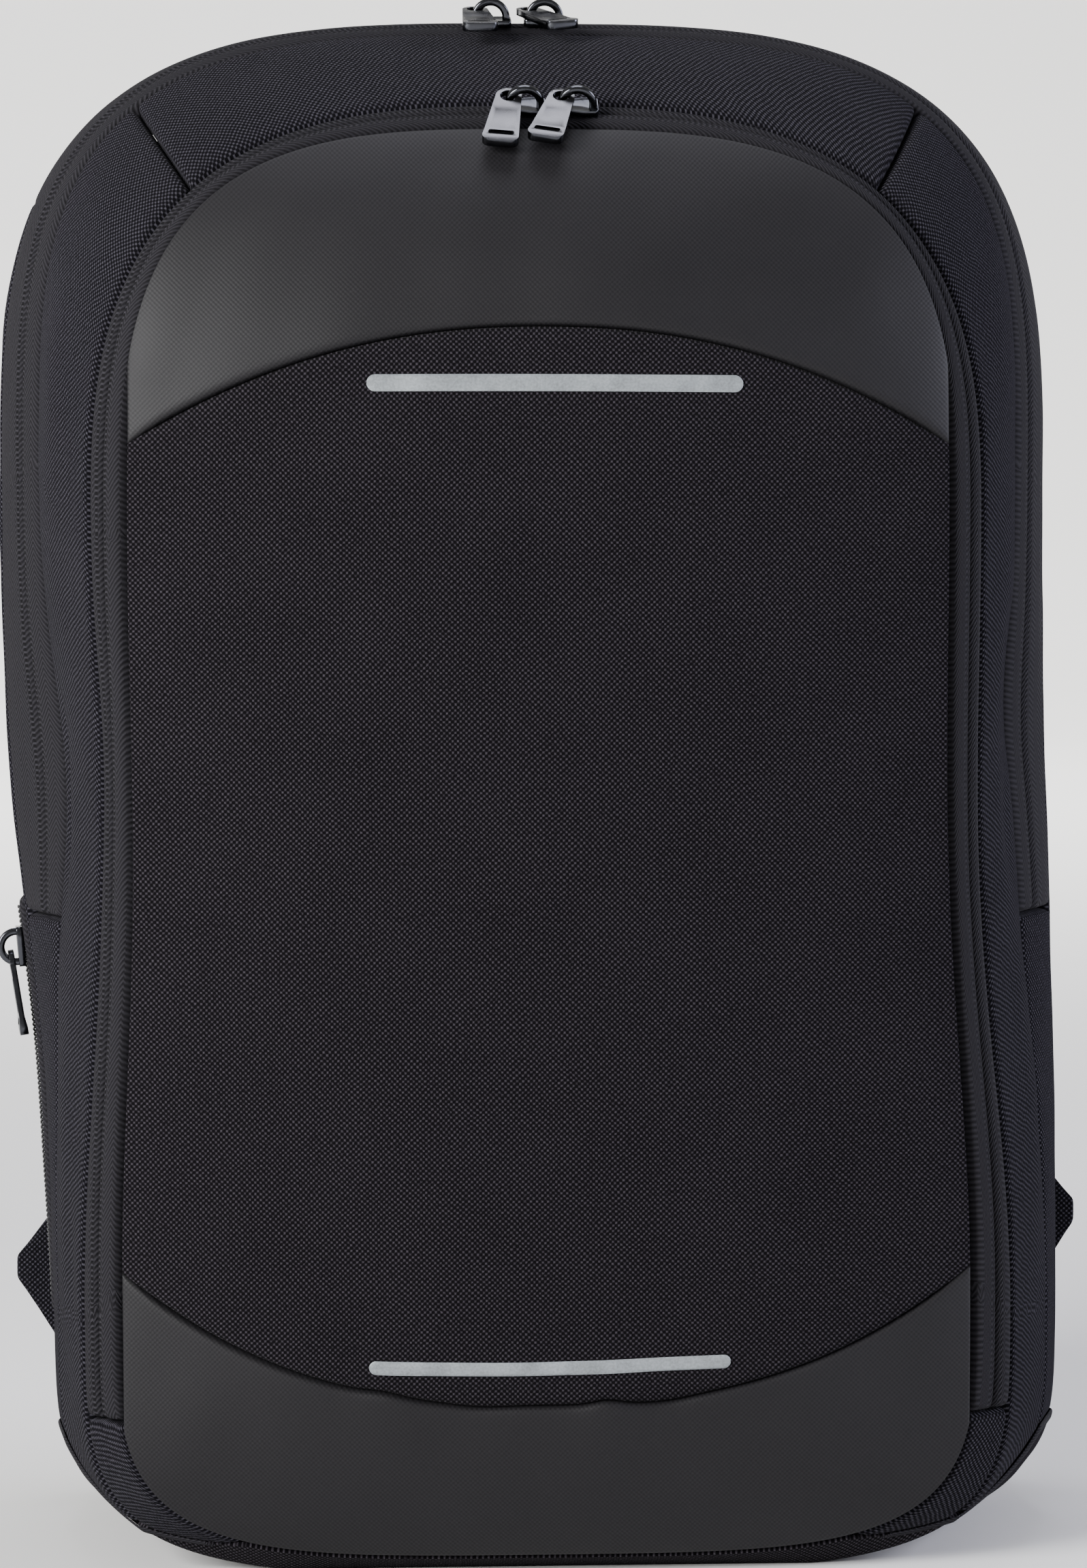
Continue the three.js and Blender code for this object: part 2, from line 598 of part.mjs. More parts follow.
function strapWing(side) {
  const root = wingRoot(side);
  const shape = new THREE.Shape();
  const edge = (z) => {
    const at = side * stationAt(GUSSET, root.z + z);
    return side * (stripPoint(GUSSET, at, 0.93).x - root.x) + GAP + 0.5;
  };
  shape.moveTo(edge(WING.top), WING.top);
  shape.lineTo(WING.reach - WING.round, WING.tip + WING.round / 2);
  shape.lineTo(WING.reach, WING.tip - WING.round);
  shape.lineTo(WING.reach, WING.round - WING.tip);
  shape.lineTo(WING.reach - WING.round, -WING.tip - WING.round / 2);
  shape.lineTo(edge(-WING.bottom) + 1, -WING.bottom);
  shape.lineTo(edge(0), 0);
  const geometry = extrude(shape, WING.thick);
  geometry.applyMatrix4(placed(root, vec(side, 0, 0), vec(0, -side, 0)));
  return geometry;
}

// The webbing runs from the wing's rear face up to the inner face of the buckle.
function strapWebbing(side) {
  const { fall, across, inward } = buckleAxes(side);
  const end = strapEnd(side).addScaledVector(fall, BUCKLE.height / 2 + GAP + BUCKLE.slotAt)
    .addScaledVector(inward, BUCKLE.thick / 2 + GAP + WEBBING.thick / 2);
  const start = wingRoot(side).add(vec(side * 9, WING.thick / 2 + 2 * GAP + WEBBING.thick / 2, 0));
  const curve = new THREE.CatmullRomCurve3([
    start, start.clone().add(vec(-side * 3, 3, 6)), start.clone().lerp(end, 0.5).add(vec(side * 4, 1, 0)),
    end.clone().addScaledVector(fall, 14), end,
  ]);
  const low = vec(0.75, 0, side * 0.66);
  const turn = (part) => low.clone().lerp(across, smooth(part * 1.2));
  const width = (part) => lerp(13, WEBBING.width, smooth(part * 2));
  return sweptBand(curve, 10, width, WEBBING.thick, turn);
}

// The haul handle lies across the back between the straps. Its ends are sewn flat and its middle stands off.
function haulHandle() {
  const { height, width, thick, line } = HANDLE;
  const point = (x, lift) => vec(x, backSurface(x, height) + GAP + thick / 2 + lift, height);
  const right = line.map(([x, lift]) => point(x, lift));
  const left = line.slice(0, -1).map(([x, lift]) => point(-x, lift));
  const end = line[0][0];
  const slope = (backSurface(end, height + width / 2) - backSurface(end, height - width / 2)) / width;
  const across = vec(0, slope, 1).normalize();
  const curve = new THREE.CatmullRomCurve3([...left, ...right.reverse()]);
  return sweptBand(curve, 18, () => width, thick, () => across.clone());
}

// Zip hardware
const toManifold = (geometry) => {
  const positions = geometry.getAttribute('position');
  const keys = new Map();
  const points = [];
  const corners = Array.from({ length: positions.count }, (_, at) => {
    const place = [positions.getX(at), positions.getY(at), positions.getZ(at)];
    const key = place.map((value) => value.toFixed(4)).join();
    if (!keys.has(key)) {
      keys.set(key, points.length / 3);
      points.push(...place);
    }
    return keys.get(key);
  });
  const index = geometry.index ? Array.from(geometry.index.array, (at) => corners[at]) : corners;
  const mesh = new wasm.Mesh({
    numProp: 3, vertProperties: new Float32Array(points), triVerts: new Uint32Array(index),
  });
  return new wasm.Manifold(mesh);
};

const fromManifold = (solid) => {
  const mesh = solid.getMesh();
  const geometry = new THREE.BufferGeometry();
  geometry.setAttribute('position', new THREE.BufferAttribute(mesh.vertProperties, 3));
  geometry.setIndex(new THREE.BufferAttribute(mesh.triVerts, 1));
  geometry.computeVertexNormals();
  return geometry;
};

// The slider's body lies along x on the tape, with the arch over it along x too.
function sliderGeometry() {
  const { length, width, body, archSpan, archTop, wire, archWidth } = SLIDER;
  const plan = new THREE.Shape();
  const waist = width * 0.34;
  plan.moveTo(-length / 2, -waist);
  plan.lineTo(-length * 0.28, -waist);
  plan.lineTo(length * 0.12, -width / 2);
  plan.lineTo(length / 2, -width / 2 + 0.6);
  plan.lineTo(length / 2, width / 2 - 0.6);
  plan.lineTo(length * 0.12, width / 2);
  plan.lineTo(-length * 0.28, waist);
  plan.lineTo(-length / 2, waist);
  const plate = extrude(plan, body - GAP).translate(0, 0, (body + GAP) / 2);
  const arch = new THREE.Shape();
  const [out, crown] = [archSpan / 2, 2.4];
  arch.moveTo(-out, body - 1);
  arch.lineTo(-out + wire, body - 1);
  arch.lineTo(-out + wire, archTop - wire - crown * 0.45);
  arch.lineTo(-out + wire + crown * 0.45, archTop - wire);
  arch.lineTo(out - wire - crown * 0.45, archTop - wire);
  arch.lineTo(out - wire, archTop - wire - crown * 0.45);
  arch.lineTo(out - wire, body - 1);
  arch.lineTo(out, body - 1);
  arch.lineTo(out, archTop - crown);
  arch.lineTo(out - crown, archTop);
  arch.lineTo(-out + crown, archTop);
  arch.lineTo(-out, archTop - crown);
  const bridge = extrude(arch, archWidth).rotateX(Math.PI / 2);
  return fromManifold(toManifold(plate).add(toManifold(bridge)));
}

// The pull lies along -y from its eye at the origin, flat in the xy plane.
function pullGeometry() {
  const { length, width, thick, eyeRadius, eyeHole, corner } = PULL;
  const tip = -(length - eyeRadius);
  const shape = new THREE.Shape();
  shape.absarc(0, 0, eyeRadius, degrees(-6), degrees(186));
  shape.lineTo(-width / 2, tip + corner);
  shape.absarc(-width / 2 + corner, tip + corner, corner, Math.PI, Math.PI * 1.5);
  shape.lineTo(width / 2 - corner, tip);
  shape.absarc(width / 2 - corner, tip + corner, corner, -Math.PI / 2, 0);
  shape.holes.push(new THREE.Path().absarc(0, 0, eyeHole, 0, Math.PI * 2, true));
  const slot = roundedRectangle(PULL_SLOT.length, PULL_SLOT.height, 0.8).getPoints(1);
  const lift = new THREE.Vector2(0, tip + PULL_SLOT.fromTip);
  shape.holes.push(new THREE.Path(slot.map((point) => point.add(lift))));
  return extrude(shape, thick, 3);
}

// The frame of a slider on a zip: x along the zip, z away from the cloth
function sliderFrame(strip, station, across, proud = 0) {
  const step = 0.01;
  const along = stripPoint(strip, station + step, across).sub(stripPoint(strip, station - step, across));
  const origin = stripPoint(strip, station, across, proud);
  return placed(origin, along, stripInward(strip, station, across).negate());
}

function stationForX(strip, across, x) {
  let low = -0.6;
  let high = 0.6;
  for (let pass = 0; pass < 40; pass += 1) {
    const middle = (low + high) / 2;
    if (stripPoint(strip, middle, across).x < x) low = middle;
    else high = middle;
  }
  return low;
}

// The pull's eye sits round one leg of the arch. heading turns it from -y of the slider's frame.
function pullFrame(frame, heading, dip) {
  const eyeHeight = (SLIDER.body + SLIDER.archTop - SLIDER.wire) / 2;
  const legAt = vec((PULL_LEG * (SLIDER.archSpan - SLIDER.wire)) / 2, 0, eyeHeight);
  const turn = new THREE.Matrix4().makeRotationZ(degrees(heading));
  const lower = new THREE.Matrix4().makeRotationX(degrees(dip));
  return frame.clone().multiply(new THREE.Matrix4().setPosition(legAt)).multiply(turn).multiply(lower);
}

// The assembly
const backpack = new THREE.Group();

function add(name, geometry, colour, { roughness = 0.9, metalness = 0, frame = null } = {}) {
  const material = new THREE.MeshStandardMaterial({ color: colour, roughness, metalness });
  const mesh = new THREE.Mesh(geometry, material);
  mesh.name = name;
  if (frame) mesh.applyMatrix4(frame);
  backpack.add(mesh);
}

const frontZipEnd = heightStation(FRONT_ZIP, FRONT_ZIP_END);
const mainZipEnd = heightStation(MAIN_ZIP, MAIN_ZIP_END);
const baseEnd = (strip) => (across) => baseStation(strip, across);
const gussetTop = constant(GUSSET_SEAM_STATION);

add('front_panel_mid', frontPanelMid(), COLOURS.woven);
add('front_yoke_top', frontYoke(YOKE_SEAM_TOP, true, 6), COLOURS.coated, { roughness: 0.65 });
add('front_yoke_bottom', frontYoke(YOKE_SEAM_BOTTOM, false, 6), COLOURS.coated, { roughness: 0.65 });
STRIPS.forEach((strip) => add(strip.name, reflectiveStrip(strip), COLOURS.reflective, { roughness: 0.5 }));

add('front_zip_tape_inner', stripPiece(FRONT_ZIP, mirrored(frontZipEnd), frontZipEnd, ZIP_TAPE,
  { to: FRONT_ZIP_SLIT, cells: 1 }), COLOURS.tape);
add('front_zip_tape_outer', stripPiece(FRONT_ZIP, mirrored(frontZipEnd), frontZipEnd, ZIP_TAPE,
  { from: FRONT_ZIP_SLIT, cells: 1 }), COLOURS.tape);
add('main_zip_tape_front', stripPiece(MAIN_ZIP, mirrored(mainZipEnd), mainZipEnd, ZIP_TAPE,
  { to: MAIN_ZIP_SLIT, cells: 1 }), COLOURS.tape);
add('main_zip_tape_rear', stripPiece(MAIN_ZIP, mirrored(mainZipEnd), mainZipEnd, ZIP_TAPE,
  { from: MAIN_ZIP_SLIT, cells: 2 }), COLOURS.tape);
const bandSeam = constant(BAND_SEAM_STATION);
add('top_band', stripPiece(BAND, mirrored(bandSeam), bandSeam, CLOTH), COLOURS.band);
add('rear_gusset_top', stripPiece(GUSSET, mirrored(gussetTop), gussetTop, CLOTH), COLOURS.band);
add('base_panel', basePanel(), COLOURS.woven);
add('back_panel', backPanel(), COLOURS.mesh);

const onSide = (side, start, end) => (side > 0 ? [start, end] : [mirrored(end), mirrored(start)]);
[-1, 1].forEach((side) => {
  const end = sideName(side);
  add(`side_band_${end}`, stripPiece(BAND, ...onSide(side, bandSeam, baseEnd(BAND)), CLOTH), COLOURS.band);
  add(`front_corner_${end}`, stripPiece(FRONT_ZIP, ...onSide(side, frontZipEnd, baseEnd(FRONT_ZIP)), CLOTH,
    { cells: 2 }), COLOURS.band);
  add(`lower_side_${end}`, stripPiece(MAIN_ZIP, ...onSide(side, mainZipEnd, baseEnd(MAIN_ZIP)), CLOTH,
    { cells: 3 }), COLOURS.band);
  add(`rear_gusset_${end}`, stripPiece(GUSSET, ...onSide(side, gussetTop, baseEnd(GUSSET)), CLOTH),
    COLOURS.band);
  add(`base_edge_${end}`, baseEdge(side), COLOURS.tape);
  add(`shoulder_strap_${end}`, shoulderStrap(side), COLOURS.mesh);
  add(`ladder_buckle_${end}`, ladderBuckle(), COLOURS.plastic, { roughness: 0.4, frame: buckleFrame(side) });
  add(`strap_wing_${end}`, strapWing(side), COLOURS.webbing);
  add(`strap_webbing_${end}`, strapWebbing(side), COLOURS.webbing);
});
add('haul_handle', haulHandle(), COLOURS.webbing);

const metal = { roughness: 0.25, metalness: 1 };
ZIPS.forEach(({ name, end, strip, slit, x, lean, dip }) => {
  const frame = sliderFrame(strip, stationForX(strip, slit, x), slit);
  add(`${name}_slider_${end}`, sliderGeometry(), COLOURS.metal, { ...metal, frame });
  const hang = pullFrame(frame, -lean, dip);
  add(`${name}_pull_${end}`, pullGeometry(), COLOURS.metal, { ...metal, frame: hang });
});

// The short zip on the left side: a tape laid on the gusset, with its slider near the top
const sideZipEnds = [SIDE_ZIP.to, SIDE_ZIP.from].map((z) => constant(-stationAt(MAIN_EDGE, z)));
const sideZipWidth = SIDE_ZIP.width / (SEAMS[BACK_EDGE].ySide - SEAMS[MAIN_EDGE].ySide);
const sideZipAcross = { from: SIDE_ZIP.across, to: SIDE_ZIP.across + sideZipWidth };
const sideZipProud = GAP + ZIP_TAPE;
add('side_zip_tape', stripPiece(GUSSET, ...sideZipEnds, ZIP_TAPE,
  { ...sideZipAcross, cells: 2, proud: sideZipProud }), COLOURS.tape);
const sideSliderStation = -stationAt(MAIN_EDGE, SIDE_ZIP.sliderAt);
const sideSliderAcross = SIDE_ZIP.across + sideZipWidth / 2;
const sideFrame = sliderFrame(GUSSET, sideSliderStation, sideSliderAcross, sideZipProud + SIDE_ZIP.seat);
add('side_zip_slider', sliderGeometry(), COLOURS.metal, { ...metal, frame: sideFrame });
const sideHang = pullFrame(sideFrame, SIDE_ZIP.heading, SIDE_ZIP.dip);
add('side_zip_pull', pullGeometry(), COLOURS.metal, { ...metal, frame: sideHang });

// The origin lies under the middle of the whole part.
const box = new THREE.Box3().setFromObject(backpack);
const middle = box.getCenter(new THREE.Vector3());
backpack.position.set(-middle.x, -middle.y, -box.min.z);

export default backpack;
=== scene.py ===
import math
from collections import namedtuple

import bmesh
import bpy
import numpy as np
from bpy.props import FloatProperty, FloatVectorProperty, PointerProperty
from mathutils import Matrix, Vector


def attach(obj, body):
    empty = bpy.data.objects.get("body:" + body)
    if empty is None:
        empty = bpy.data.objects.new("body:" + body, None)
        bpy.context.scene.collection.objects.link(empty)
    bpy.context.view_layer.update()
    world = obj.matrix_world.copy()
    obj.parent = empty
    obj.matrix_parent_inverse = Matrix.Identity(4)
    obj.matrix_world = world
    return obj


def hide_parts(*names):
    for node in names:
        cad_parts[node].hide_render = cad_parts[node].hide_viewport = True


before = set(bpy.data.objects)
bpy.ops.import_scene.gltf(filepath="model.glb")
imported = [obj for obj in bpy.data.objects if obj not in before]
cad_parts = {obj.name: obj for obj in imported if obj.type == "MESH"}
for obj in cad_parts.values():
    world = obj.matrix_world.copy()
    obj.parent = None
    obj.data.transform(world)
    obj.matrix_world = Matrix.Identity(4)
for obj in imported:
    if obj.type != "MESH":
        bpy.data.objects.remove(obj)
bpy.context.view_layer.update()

bl_info = {
    "name": "Laptop backpack",
    "version": (1, 0, 0),
    "blender": (4, 5, 0),
    "location": "3D View > Sidebar > Backpack",
    "description": "Dresses the packed backpack in cloth, zips, padding and metal",
    "category": "Object",
}

MM = 0.001
# The row's origin lies under the middle of the whole part, this far from the middle of the seams, in mm.
ORIGIN = np.array((7.7786, 18.5256, 0.0))
BODY = "bag"


def linear(code):
    """An sRGB hex colour as linear red, green, blue and alpha."""
    parts = [int(code[at:at + 2], 16) / 255 for at in (0, 2, 4)]
    return tuple(p / 12.92 if p <= 0.04045 else ((p + 0.055) / 1.055) ** 2.4 for p in parts) + (1.0,)


def length(name, description, millimetres):
    """A length that a user may change."""
    return FloatProperty(name=name, description=description, default=millimetres * MM, min=0.0,
                         unit="LENGTH", precision=5)


def colour(name, description, code):
    """A colour that a user may change."""
    return FloatVectorProperty(name=name, description=description, default=linear(code), size=4,
                               min=0.0, max=1.0, subtype="COLOR")


class BackpackSizes(bpy.types.PropertyGroup):
    """Sizes of the cloth, its threads and the zip hardware."""
    cloth: length("Cloth", "Thickness of the shell's cloth", 1.4)
    tape: length("Zip tape", "Thickness of the zip tape", 1.0)
    seam: length("Seam depth", "How deep the cloth turns in at a seam", 1.3)
    turn: length("Seam turn", "Width over which the cloth turns in at a seam", 1.5)
    weave: length("Weave", "Thread spacing of the woven panels", 0.8)
    band_weave: length("Band weave", "Thread spacing of the bands", 0.8)
    dots: length("Coating dots", "Spacing of the dots pressed into the coated cloth", 0.7)
    twill: length("Twill", "Spacing of the zip tape's herringbone ribs", 1.7)
    loops: length("Coil stitches", "Spacing of the stitches beside the zip's slit", 1.6)
    pitch: length("Coil pitch", "Spacing of the coil's turns on the side zip", 1.5)


class BackpackColours(bpy.types.PropertyGroup):
    """Colours of the backpack's materials."""
    woven: colour("Woven cloth", "Front panel and base", "1d1b1e")
    coated: colour("Coated cloth", "Yokes of the front panel", "141315")
    band: colour("Band cloth", "Bands, sides, gussets and wings", "201f23")
    tape: colour("Zip tape", "Herringbone tape of the zips", "1e1d20")
    reflective: colour("Reflective tape", "Strips on the front panel", "818689")
    mesh: colour("Spacer mesh", "Back panel and shoulder straps", "111112")
    webbing: colour("Webbing", "Strap webbing and haul handle", "141416")
    plastic: colour("Buckle plastic", "Ladder buckles and the side zip's coil", "0e0e10")
    # The pulls are one nickel plating drawn in two tones: their faces take the lighter pull tone, a painted
    # reflection of the bright light above, and their edges the darker metal tone, a painted shade.
    metal: colour("Black nickel", "Sliders and the edges of the pulls", "434448")
    pull: colour("Satin nickel", "Faces of the pulls", "616163")
    floor: colour("Floor", "Pale studio floor", "e9e8e6")


# The seams round the bag, from the front panel's edge to the back panel's edge, in mm
Seam = namedtuple("Seam", "wide hip waist top shoulder hip_at bottom square_top square_bottom "
                  "y_side y_top y_bottom base")
SEAMS = (
    Seam(119, 124, -2.5, 418, 300, 85, 4.5, 3.25, 4.2, -62, -38, -56, 9),
    Seam(129, 135.5, -4, 425, 300, 75, -2, 2.85, 4, -51, -27.5, -47, 13),
    Seam(144.5, 148, -3, 447.5, 320, 70, -2, 3.4, 4.5, -5, 8, -5, 30),
    Seam(157, 152.5, 1, 452, 310, 65, -2, 3.3, 4.5, 20, 28, 16, 30),
    Seam(151, 146, 0, 443, 310, 65, -2, 3.4, 4.5, 75, 75, 72, 28),
)
PANEL_EDGE, ZIP_EDGE, BAND_EDGE, MAIN_EDGE, BACK_EDGE = range(5)
FRONT_ZIP, BAND, MAIN_ZIP, GUSSET = range(4)
# How far the middle of each strip stands out, and the station from and over which that fades away
STRIP_PUFF = (0.4, 2.5, 1.2, 2.5)
PUFF_FADE_FROM, PUFF_FADE_OVER = 1.75, 0.35

# Ripples in the cloth: wave length, phase and direction
RIPPLES = ((71, 0.0, 0.4), (53, 1.9, 1.3), (38, 4.4, 2.2), (29, 2.7, 2.9))
PANEL_RIPPLE = 0.9
# Distances from an edge at which a sheet has points, so that it can turn in there
RIM_STEPS = (0.0, 0.4, 0.9, 1.5, 2.3, 3.4)
# Folds that draw a seam in: seam, side, height, depth and reach along the seam
Fold = namedtuple("Fold", "seam side height depth reach")
FOLDS = (
    Fold(BAND_EDGE, -1, 232, 4.5, 42),
    Fold(ZIP_EDGE, -1, 240, 2, 40),
    Fold(BAND_EDGE, 1, 248, 2.5, 26),
    Fold(MAIN_EDGE, -1, 150, 2, 45),
)
# Creases in the cloth between two seams: strip, side, height, place across, depth, reach along and across
Crease = namedtuple("Crease", "strip side height across depth along reach")
CREASES = (
    Crease(BAND, -1, 225, 0.80, 3.4, 26, 0.10),
    Crease(BAND, -1, 330, 0.55, -0.9, 40, 0.22),
    Crease(BAND, -1, 120, 0.45, -1.1, 34, 0.20),
    Crease(BAND, -1, 92, 0.30, 1.2, 16, 0.14),
    Crease(BAND, 1, 262, 0.72, 1.8, 12, 0.16),
    Crease(BAND, 1, 214, 0.62, 1.6, 15, 0.14),
    Crease(BAND, 1, 150, 0.60, -1.2, 40, 0.22),
    Crease(GUSSET, 1, 120, 0.35, 1.6, 30, 0.16),
)
# The lower body's shift to the right, and the depths and the heights where it starts and is full
LEAN_SHIFT, LEAN_FRONT, LEAN_FULL, LEAN_FROM, LEAN_TO = 10, -90, 20, 290, 60

# Room between solids, between cloth edges at a seam, and inside the panel's rim
GAP = 0.3
SEAM_GAP = 0.04
RIM_CLEARANCE = 0.5
PANEL_BULGE = 22
BACK_BULGE = 9
# Stations where a top is sewn to its sides, heights where the zips end, and places of their slits across
BAND_SEAM = 0.485
GUSSET_SEAM = 0.7
FRONT_ZIP_END = 46
MAIN_ZIP_END = 186
FRONT_SLIT = 0.56
MAIN_SLIT = 0.38
# Yoke seams: height in the middle, how far the ends curve away, half width and power
YOKE_TOP = (359.5, -32.5, 116, 2.2)
YOKE_BOTTOM = (53, 37, 122, 2.5)
# How far the panel turns in at a yoke seam and at its rim, in seam depths, and where it does at the rim
YOKE_DIP, RIM_DIP, RIM_FROM, RIM_OVER = 0.75, 1.6, 0.986, 0.014
# Puckers along the lower yoke seam: x, lift and reach
PUCKERS = ((-46, 1.0, 7), (17, 1.3, 5), (34, -0.8, 9), (-20, -0.7, 10))
# Reflective strips: node, middle x and z, length, height and sag
STRIPS = (
    ("reflective_strip_top", 3.5, 343.5, 106, 4.8, 0.2),
    ("reflective_strip_bottom", 1, 65, 103, 4, -0.9),
)
# How far a strip's film stands off the panel in its middle, how much less at its edges, and at its back
FILM_PROUD, FILM_EDGE, FILM_BACK = 0.55, 0.25, 0.12
# Points across the panel, and the rough heights that its rows are spread over
PANEL_COLUMNS, PANEL_HEIGHT, YOKE_HEIGHT = 121, 318, 66
# The base: points from a side to its middle, how far it stays inside its sides in stations, and short of
# the front and the back as a share of a strip, and rows on each strip
BASE_COLUMNS, BASE_INSIDE, BASE_FRONT, BASE_BACK = 60, GAP / 60, GAP / 10, 1 - 2.2 / 60
BASE_ROWS = ((FRONT_ZIP, 5), (BAND, 16), (MAIN_ZIP, 9), (GUSSET, 20))
# The base's edge strips: strip, start and end across it, and steps
EDGE_RUNS = ((FRONT_ZIP, 0.35, 1, 14), (BAND, 0, 1, 30), (MAIN_ZIP, 0, 1, 18), (GUSSET, 0, 0.92, 36))
EDGE_HALF, EDGE_PROUD, EDGE_CROWN, EDGE_BACK = 3.4, 0.3, 0.45, 0.08
# A small step of a station, to find a direction
STEP = 0.01

# Zip hardware in mm, as the solids have it
SLIDER_LENGTH, SLIDER_WIDTH, SLIDER_BODY, SLIDER_WAIST = 12.2, 8, 2.4, 0.68
ARCH_SPAN, ARCH_TOP, ARCH_WIRE, ARCH_WIDTH = 11.4, 8.4, 2.2, 2.4
PULL_LENGTH, PULL_WIDTH, PULL_THICK = 26, 10.8, 1.7
EYE_RADIUS, EYE_HOLE, EYE_EASE = 3.8, 2.1, 0.4
PULL_LEG = -1
CUT_DEPTH = 6
# Angles above which an edge of cloth or of metal is drawn sharp
CLOTH_SHARP, CAST_SHARP = math.radians(62), math.radians(40)
# The least side and the least fill of the flat size worked out for a sheet
FLAT_LEAST, FILL_LEAST = 10.0, 0.31
# Zips: zip and side in the names, strip, slit, x of the slider, lean and dip of the pull
Zip = namedtuple("Zip", "zip side strip slit x lean dip")
ZIPS = (
    Zip("front", "left", FRONT_ZIP, FRONT_SLIT, -2.9, 9, 6),
    Zip("front", "right", FRONT_ZIP, FRONT_SLIT, 12.3, 15, 3),
    Zip("main", "left", MAIN_ZIP, MAIN_SLIT, -10.5, -2, 2),
    Zip("main", "right", MAIN_ZIP, MAIN_SLIT, 5.5, -26, 1),
)
SIDE_FROM, SIDE_TO, SIDE_SLIDER, SIDE_ACROSS, SIDE_WIDTH, SIDE_DIP = 190, 64, 175, 0.05, 16, 4
SIDE_PROUD = GAP + 1.2
SIDE_SEAT = 0.15
COIL_SHORT, COIL_HALF_WIDTH, COIL_HALF_HEIGHT, COIL_WIRE = 3, 1.9, 0.5, 0.38

STRAP_WIDTH, STRAP_THICK, STRAP_TOP_WIDTH, STRAP_TAPER = 58, 10, 50, 14
STRAP_ON_BACK = ((66, 424, 0), (66, 408, 1), (67, 390, 6))
STRAP_FREE = ((72, 111, 340), (82, 116, 270), (93, 113, 205), (100, 107, 160))
WEBBING_WIDTH, WEBBING_THICK, WEBBING_SEWN = 25, 1.8, 13
BUCKLE_WIDTH, BUCKLE_HEIGHT, BUCKLE_THICK, BUCKLE_CORNER = 34, 24, 4, 3
BUCKLE_SLOT, BUCKLE_SLOT_HEIGHT, BUCKLE_SLOT_AT = 27, 4.2, 5.4
WING_THICK, WING_REACH, WING_UP, WING_DOWN, WING_TIP, WING_ROUND, WING_BACK = 3, 20, 26, 34, 5, 1.6, 71
WING_HEIGHT = {-1: 70, 1: 85}
HANDLE_HEIGHT, HANDLE_WIDTH, HANDLE_THICK = 417, 20, 3.6
# The handle's line by x and the distance off the back, from its sewn end to its middle
HANDLE_LINE = ((37, 0.15), (29, 0.5), (23, 6.5), (16, 17.5), (0, 22))
SIDE_NAME = {-1: "left", 1: "right"}
SWELL_FRAMES = 20

# The stage in metres: the floor's radius, and the radius and steps of the curve that turns it into a wall
FLOOR_RADIUS, WALL_CURVE, WALL_STEPS = 4, 3, 12
AIR_TONE, AIR_STRENGTH = "e4e4e3", 0.5
# Soft boxes: name, place, aim, width, height, power and tone
SOFT_BOXES = (
    ("key_box", (-2.0, -1.6, 1.15), (0, 0, 0.26), 1.2, 1.4, 180, "ffffff"),
    ("fill_box", (2.3, -0.35, 1.0), (0, 0, 0.22), 0.9, 1.3, 74, "e9ebff"),
    ("top_box", (0.0, 0.42, 1.9), (0, -0.05, 0.43), 0.9, 0.8, 12, "f2f3ff"),
    ("back_box", (0.0, 2.4, 2.6), (0, 5.6, 0.3), 3.0, 1.0, 310, "ffffff"),
)
# The camera: sensor and lens in mm, place in metres and turn in degrees
SENSOR, LENS, CAMERA_PLACE, CAMERA_TURN = 36, 115.94, (-0.08627, -1.5164, 0.330), 3
# The middle of the picture lies this far right of and below the level line, at this focal length in px
RIGHT_PX, BELOW_PX, FOCAL_PX = 22, 516.5, 7399


def lerp(start, end, part):
    return start + (end - start) * part


def smooth(part):
    part = np.clip(part, 0, 1)
    return part * part * (3 - 2 * part)


def unit(vectors):
    return vectors / np.linalg.norm(vectors, axis=-1, keepdims=True)


def hill(distance, reach):
    return np.exp(-(distance / reach) ** 2)


def lean_shift(y, z):
    """How far the lower body sits to the right, more so towards the back."""
    depth = np.minimum(1, (y - LEAN_FRONT) / (LEAN_FULL - LEAN_FRONT))
    return LEAN_SHIFT * depth * smooth((LEAN_FROM - z) / (LEAN_FROM - LEAN_TO))


def seam_points(index, station):
    """Points on a seam. The station runs from 0 at the top centre over 1 at the shoulder and 2 at the hip
    to 3 at the bottom centre, negative on the left."""
    seam = SEAMS[index]
    station = np.asarray(station, float)
    side = np.where(station < 0, -1.0, 1.0)
    along = np.minimum(3.0, np.abs(station))
    top = np.radians(np.clip(1 - along, 0, 1) * 90)
    low = np.radians(np.clip(along - 2, 0, 1) * 90)
    down = np.clip(along - 1, 0, 1)
    where = [along <= 1, along <= 2]
    half = np.select(where, [
        seam.wide * np.cos(top) ** (2 / seam.square_top),
        lerp(seam.wide, seam.hip, smooth(down)) + seam.waist * np.sin(np.pi * down) ** 2,
    ], seam.hip * np.abs(np.cos(low)) ** (2 / seam.square_bottom))
    z = np.select(where, [
        lerp(seam.shoulder, seam.top, np.sin(top) ** (2 / seam.square_top)),
        lerp(seam.shoulder, seam.hip_at, down),
    ], lerp(seam.hip_at, seam.bottom, np.sin(low) ** (2 / seam.square_bottom)))
    y = np.select(where, [
        lerp(seam.y_side, seam.y_top, np.sin(top) ** 2),
        np.full_like(along, seam.y_side),
    ], lerp(seam.y_side, seam.y_bottom, np.sin(low) ** 2))
    for fold in FOLDS:
        if fold.seam == index:
            half = half - np.where(side == fold.side, fold.depth * hill(z - fold.height, fold.reach), 0)
    return np.stack([side * half + lean_shift(y, z), y, np.maximum(0, z)], axis=-1)


